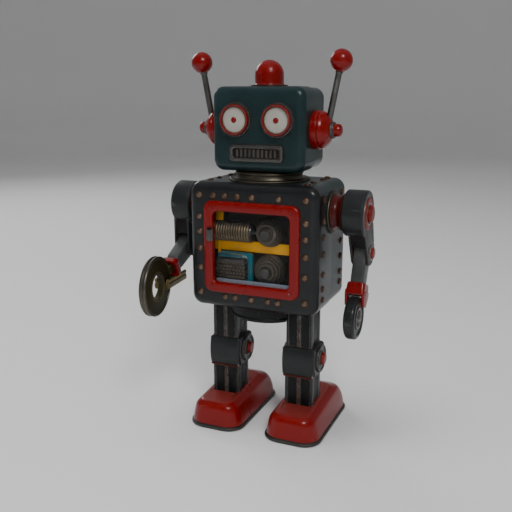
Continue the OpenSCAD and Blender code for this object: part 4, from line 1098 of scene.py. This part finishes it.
def key():
    """Bow with a hole and a beaded rim, and the folded stem with its notched walls."""
    low, high = box("key_bow")
    r, t, hole = (high.z - low.z) / 2, 2.4, 8.1
    place = Matrix.Translation((low + high) / 2) @ Matrix.Rotation(KEY_YAW, 4, "Z")
    half = [(hole, t - 0.6), (hole + 0.3, t - 0.1), (hole + 0.9, t - 0.1), (hole + 1.3, t - 0.6),
            (r - 1.6, t - 0.6)]
    face = Shape().lathe(mirrored(half), ORIGIN, X, 0.3, 120, closed=True)
    piece("key_disc", face, KEY_FACE, "key", "key_brass", "key_bow", place=place)
    bead = [(r - 1.8, 0.7 - t), (r - 1.5, 0.05 - t), (r - 1.1, -t), (r - 0.3, 0.35 - t),
            (r, 1.1 - t), (r - 0.1, -0.65)]
    rim = Shape().lathe(bead + [(r - 0.8, 0)] + [(x, -d) for x, d in bead[::-1]], ORIGIN, X,
                        0.25, 120, closed=True)
    piece("key_rim", rim, KEY_RIM, "key", "key_brass", place=place)
    half, bottom, top, floor = 5.2, -4.4, 2.4, -0.4
    wall = half - 1.9

    def section(y, out):
        side = [(half + out, top, 1.2), (half + out, 0.3, 0.4), (half - 0.6, 0.1),
                (half - 0.6, -0.6), (half - 0.1, -0.8, 0.4), (half - 0.1, bottom + 0.9, 0.9),
                (half - 0.9, bottom)]
        other = [(-p[0], *p[1:]) for p in side[::-1]]
        inside = [(-wall, top, 0.8), (-wall, floor, 1.2), (wall, floor, 1.2), (wall, top, 0.8)]
        return flat(xz, rounded(side + other + inside, 0.3), y)

    start, end, notches = 9.2, 36.9, 14
    pitch = (end - start) / notches
    loops = [section(start, -0.5)]
    for k in range(notches):
        loops += [section(start + (k + share) * pitch, out)
                  for share, out in ((0.10, -0.42), (0.25, 0.0), (0.75, 0.0), (0.90, -0.42))]
    loops.append(section(end, -0.5))
    slot = Shape().block((-1.75, 20, -3.4), (1.75, 40, 0.1), 0.05)
    piece("key_shaft", Shape().loft(loops), KEY, "key", "key_brass", "key_stem", place, cut=slot)


# ---------- Legs ----------

def leg_section(w, d):
    """Outline of a leg tube: ribbed and panelled front, one panel on each side, plain back."""
    half, front = w / 2, -d / 2
    right = [(0.0, front + 0.9), (0.4, front + 0.9), (0.55, front), (1.15, front),
             (1.4, front + 0.75), (half - 2.3, front + 0.75), (half - 1.9, front),
             (half, front, 1.3), (half, front + 3.2), (half - 0.5, front + 3.6),
             (half - 0.5, -front - 3.6), (half, -front - 3.2), (half, -front, 1.3)]
    left = [(-p[0], *p[1:]) for p in right[:0:-1]]
    return rounded(right + left, 0.22, 3)


def leg_tube(name, body, node, place, shape, w, d, z0, z1, panel_z0, panel_z1):
    """One leg tube with its dark sunk panels and the rusty groove between them."""
    outline = leg_section(w, d)
    shape.loft([flat(xy, outline, z0 + (z1 - z0) * k / 4) for k in range(5)])
    piece(f"{name}_tube", shape, GUN, body, "gunmetal", node, place)
    front, groove, edge, cheek = -d / 2, 1.45, w / 2 - 2.35, w / 2 - 0.75
    dark = Shape()
    for s in (-1, 1):
        x0, x1 = sorted((s * groove, s * edge))
        dark.slab(rect(x0, panel_z0, x1, panel_z1, 0.6, 3), xz, front + 0.55, front + 1.2, 0.1)
        dark.block((s * cheek - 0.3, front + 3.9, panel_z0),
                   (s * cheek + 0.3, -front - 3.9, panel_z1), 0.1)
    rust = Shape().block((-0.38, front + 0.45, z0 + 0.5), (0.38, front + 1.2, z1 - 0.5), 0.1)
    piece(f"{name}_panels", dark, DARK, body, "gunmetal", place=place)
    piece(f"{name}_groove", rust, GROOVE, body, "gunmetal", place=place)


def knee_outline(radius, front, back, z_low, z_high):
    """Side view of the knee housing: one bulging front and a straight back."""
    half = (z_high - z_low) / 2
    bulge = [(front + radius - math.sqrt(radius ** 2 - (half * k / 6) ** 2),
              z_low + half * (1 + k / 6)) for k in range(-6, 7)]
    return rounded(bulge + [(back, z_high, 2.5), (back, z_low, 2.5)], 1.2)


def knee(make, dy, z, low_z, high_z):
    """Knee housing with its lining, discs, caps and pin. The lining is a dark red strip under the front
    lip: red inside paint, darkened as painted shadow.
    """
    housing = Shape().slab(knee_outline(30, -11, 11.4, low_z, high_z), yz, -11, 11, 2.2, 6)
    inner = Shape().slab(knee_outline(30, -9.9, 30, low_z - 6, high_z - 1.0), yz, -10.0, 10.0, 0.3)
    make("knee_housing", housing, GUN, "gunmetal", cut=inner)
    # Dark red strip under the housing's front lip: red inside paint darkened as painted shadow.
    lining_and_shadow = Shape().block((-9.8, -10.4, low_z + 0.15), (9.8, -9.3, low_z + 1.2))
    make("knee_lining", lining_and_shadow, SPOOL, "cap_red")
    discs, caps = Shape(), Shape()
    for e in (-1, 1):
        at = (e * 10.9, dy, z), (e, 0, 0)
        discs.lathe([(0, 0), (9.0, 0), (9.2, 0.4), (9.0, 1.1), (8.2, 1.35), (7.4, 1.1),
                     (6.8, 0.7), (0, 0.7)], *at, 0.25)
        discs.lathe([(3.8, 0.6), (5.3, 0.6), (5.3, 1.2), (4.6, 1.5), (3.8, 1.5)], *at, 0.2, 56,
                    closed=True)
        caps.lathe([(0, 1.0), (4.0, 1.0), (4.0, 2.4), (3.4, 3.2), (2.4, 3.45), (0, 3.5)], *at,
                   0.4, 48)
    discs.rod(2.2, -10.9, 10.9, (0, dy, z))
    make("knee_discs", discs, GUN, "cap_red", "knee_pin")
    make("knee_caps", caps, CAP, "cap_red")


def legs():
    for side, _ in SIDES:
        pin = middle(f"knee_pin_{side}")
        leg_y = box(f"lower_leg_{side}")[0].y + 7.8
        dy = pin.y - leg_y
        low, high = box(f"upper_leg_{side}")
        top, low_z, high_z = high.z, low.z, low.z + 20
        place = Matrix.Translation((pin.x, leg_y, 0))
        leg = f"leg_{side}"
        make = sided(side, leg, place)
        leg_tube(f"thigh_{side}", leg, f"upper_leg_{side}", place, Shape(), 17.5, 17, high_z - 1.2, 94.8,
                 high_z + 0.8, 81)
        outline = rounded([(-6, 92), (6, 92), (7.4, top - 13), (7.4, top - 2), (5.5, top),
                           (-5.5, top), (-7.4, top - 2), (-7.4, top - 13)], 1, 3)
        slot = Shape().slab([(-5.8, 101.8), (5.8, 101.8), (5.8, 110.6), (-5.8, 110.6)], yz,
                            -3, 3, 0.01)
        lever = Shape().slab(outline, yz, -1, 1, 0.2)
        make("leg_lever", lever, DARK_STEEL, "gunmetal", cut=slot)
        knee(make, dy, pin.z, low_z, high_z)
        ends = Shape().lathe([(0, -9.4), (7.6, -9.4), (7.9, -9.0), (7.9, 9.0), (7.6, 9.4),
                              (0, 9.4)], (0, dy, pin.z), X, 0.1, 56)
        ends.slab(two_circles((0, 14.5), 4.4, (0, 12), 4.4), yz, -6, 6, 0.3)
        leg_tube(f"shin_{side}", f"shin_{side}", f"lower_leg_{side}", place, ends, 19.2, 15.6, 15.0,
                 pin.z - 1.5, 16.5, low_z + 1)


def smooth_row(rows, t):
    """Smooth values between rows of driving numbers, t from 0 to the last row."""
    i = min(int(t), len(rows) - 2)
    f = t - i
    picks = [rows[max(i - 1, 0)], rows[i], rows[i + 1], rows[min(i + 2, len(rows) - 1)]]
    out = []
    for a, b, c, d in zip(*picks):
        out.append(b + 0.5 * f * (c - a + f * (2 * a - 5 * b + 4 * c - d + f * (3 * (b - c) + d - a))))
    return out


SHOE_H, HEEL_Y, SHOE_FALL = 22.0, 28.3, 0.075


def shoe(make, low, high, bottom, leg_x, leg_y):
    """Pressed shoe: bulging sides, a plateau that falls to the toe, and the leg's sunk socket."""
    w, y0, y1 = high.x - low.x, low.y, high.y

    def level(z, width, front, back, r, cx=(low.x + high.x) / 2):
        """Outline at a height under the heel line, falling towards the toe."""
        fall = SHOE_FALL * (z - bottom) / (SHOE_H - bottom)
        return [xy(p.x, p.y, z + fall * (p.y - HEEL_Y))
                for p in ring(width, back - front, r, cx, (front + back) / 2, 10, 8)]

    rows = [(bottom, w, y0, y1, 10.4), (10, w - 2.2, y0 + 0.3, y1 - 1.7, 9.4),
            (16.5, w - 5.2, y0 + 0.8, y1 - 6.6, 8.2), (19.6, w - 9.0, y0 + 1.8, y1 - 13.0, 6.6),
            (21.5, w - 12.4, y0 + 3.6, y1 - 17.2, 5.4)]
    count = 24
    loops = [level(*smooth_row(rows, k * (len(rows) - 1) / count)) for k in range(count + 1)]
    for rise, more in ((0.2, 0.5), (0.35, 1.1), (0.45, 1.9), (0.5, 3.0)):
        loops.append(level(21.5 + rise, w - 12.4 - 2 * more, y0 + 3.6 + more, y1 - 17.2 - more,
                           5.4 - more * 0.4))
    for z in (SHOE_H, SHOE_H - 1.2):
        loops.append(level(z, 19.9, leg_y - 9.7, leg_y + 9.7, 1.2, leg_x))
    loops += [level(20.2, w - 16.8, y0 + 6, y1 - 20, 4), level(12, w - 6, y0 + 2, y1 - 5, 7),
              level(bottom, w - 2.4, y0 + 1.2, y1 - 1.2, 9)]
    make("shoe_upper", Shape().loft(loops, closed=True), SHOE, "shoe_red", "shoe")


def feet():
    for side, _ in SIDES:
        make = sided(side, f"foot_{side}")
        low, high = box(f"sole_{side}")
        bottom = high.z
        leg_x, leg_y = middle(f"knee_pin_{side}").x, box(f"lower_leg_{side}")[0].y + 7.8
        shoe_low, shoe_high = box(f"shoe_{side}")
        shoe(make, shoe_low, shoe_high, bottom, leg_x, leg_y)
        pin = Shape().rod(1.8, -13.4, 13.4, (leg_x, leg_y, 12), radius=0.2)
        make("ankle_pin", pin, STEEL, "bare_steel")
        size, centre = high - low, (low + high) / 2
        levels = [(1.6, 0.0), (0.7, 0.15), (0.2, 0.6), (0.0, 1.3), (0.15, 2.0), (0.7, 2.55),
                  (1.5, bottom), (3.0, bottom)]
        loops = [flat(xy, ring(size.x - 2 * i, size.y - 2 * i, 11.5 - i * 0.5, centre.x,
                               centre.y), z) for i, z in levels]
        make("sole_plate", Shape().loft(loops), SOLE, "sole_steel", "sole")


# ---------- Stage ----------

# Offset from the robot's middle, size and power of each lamp, and whether it shows in reflections
LAMPS = (("key", (0.55, -0.75, 0.85), 0.40, 7.5, True),
         ("fill", (-0.95, -0.55, 0.45), 0.8, 2.2, False),
         ("front", (0.40, -1.10, 0.30), 0.4, 3.5, False),
         ("rim", (-0.95, 0.7, 0.6), 0.5, 3.5, True),
         ("top", (-0.25, -0.1, 1.1), 0.5, 4.0, False))


def floor():
    """Pale floor that curves up into a round wall."""
    bowl = Shape().lathe([(0, 0), (2900, 0), (3000, 1700)], radius=900, steps=96).bm
    mesh = bpy.data.meshes.new("floor")
    bowl.to_mesh(mesh)
    bowl.free()
    mesh.transform(Matrix.Scale(MM, 4))
    mesh.polygons.foreach_set("use_smooth", [True] * len(mesh.polygons))
    obj = bpy.data.objects.new("floor", mesh)
    scene.collection.objects.link(obj)
    look = Look("pale_floor")
    shade = look.mixed(look.noise(4.0, 3.0), (0.80, 0.80, 0.81), (0.84, 0.84, 0.84))
    mesh.materials.append(look.shade(Base_Color=shade, Roughness=0.7))
    obj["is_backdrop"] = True


def lamps(centre):
    """Soft lamps round the robot, and a dim sky."""
    world = bpy.data.worlds.new("studio")
    world.use_nodes = True
    sky = world.node_tree.nodes["Background"]
    sky.inputs["Color"].default_value = (0.62, 0.64, 0.67, 1)
    sky.inputs["Strength"].default_value = 0.3
    scene.world = world
    for name, offset, size, power, glossy in LAMPS:
        data = bpy.data.lights.new(name, "AREA")
        data.shape = "DISK"
        data.size = size
        data.energy = power
        lamp = bpy.data.objects.new(name, data)
        lamp.location = centre + Vector(offset)
        lamp.rotation_euler = (-Vector(offset)).to_track_quat("-Z", "Y").to_euler()
        lamp.visible_glossy = glossy
        scene.collection.objects.link(lamp)


def camera(centre):
    """Three-quarter view from the front, a little above the robot."""
    aim = centre + Vector((-0.0031, -0.0027, -0.0051))
    azimuth, elevation, distance = math.radians(23.307), math.radians(13.31), 0.4330
    back = Vector((math.sin(azimuth) * math.cos(elevation),
                   -math.cos(azimuth) * math.cos(elevation), math.sin(elevation)))
    data = bpy.data.cameras.new("camera")
    data.sensor_width = 36.0
    data.lens = 48.49
    eye = bpy.data.objects.new("camera", data)
    eye.location = aim + back * distance
    eye.rotation_euler = back.to_track_quat("Z", "Y").to_euler()
    scene.collection.objects.link(eye)
    scene.camera = eye


for build in (body_shells, rivets, window, neck_and_waist, shoulders, inner_parts, stop_lever,
              head, eyes, mouth, ears, arms, key, legs, feet):
    build()
robot_middle = (Vector(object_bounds()[0]) + Vector(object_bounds()[1])) / 2
camera(robot_middle)
floor()
lamps(robot_middle)
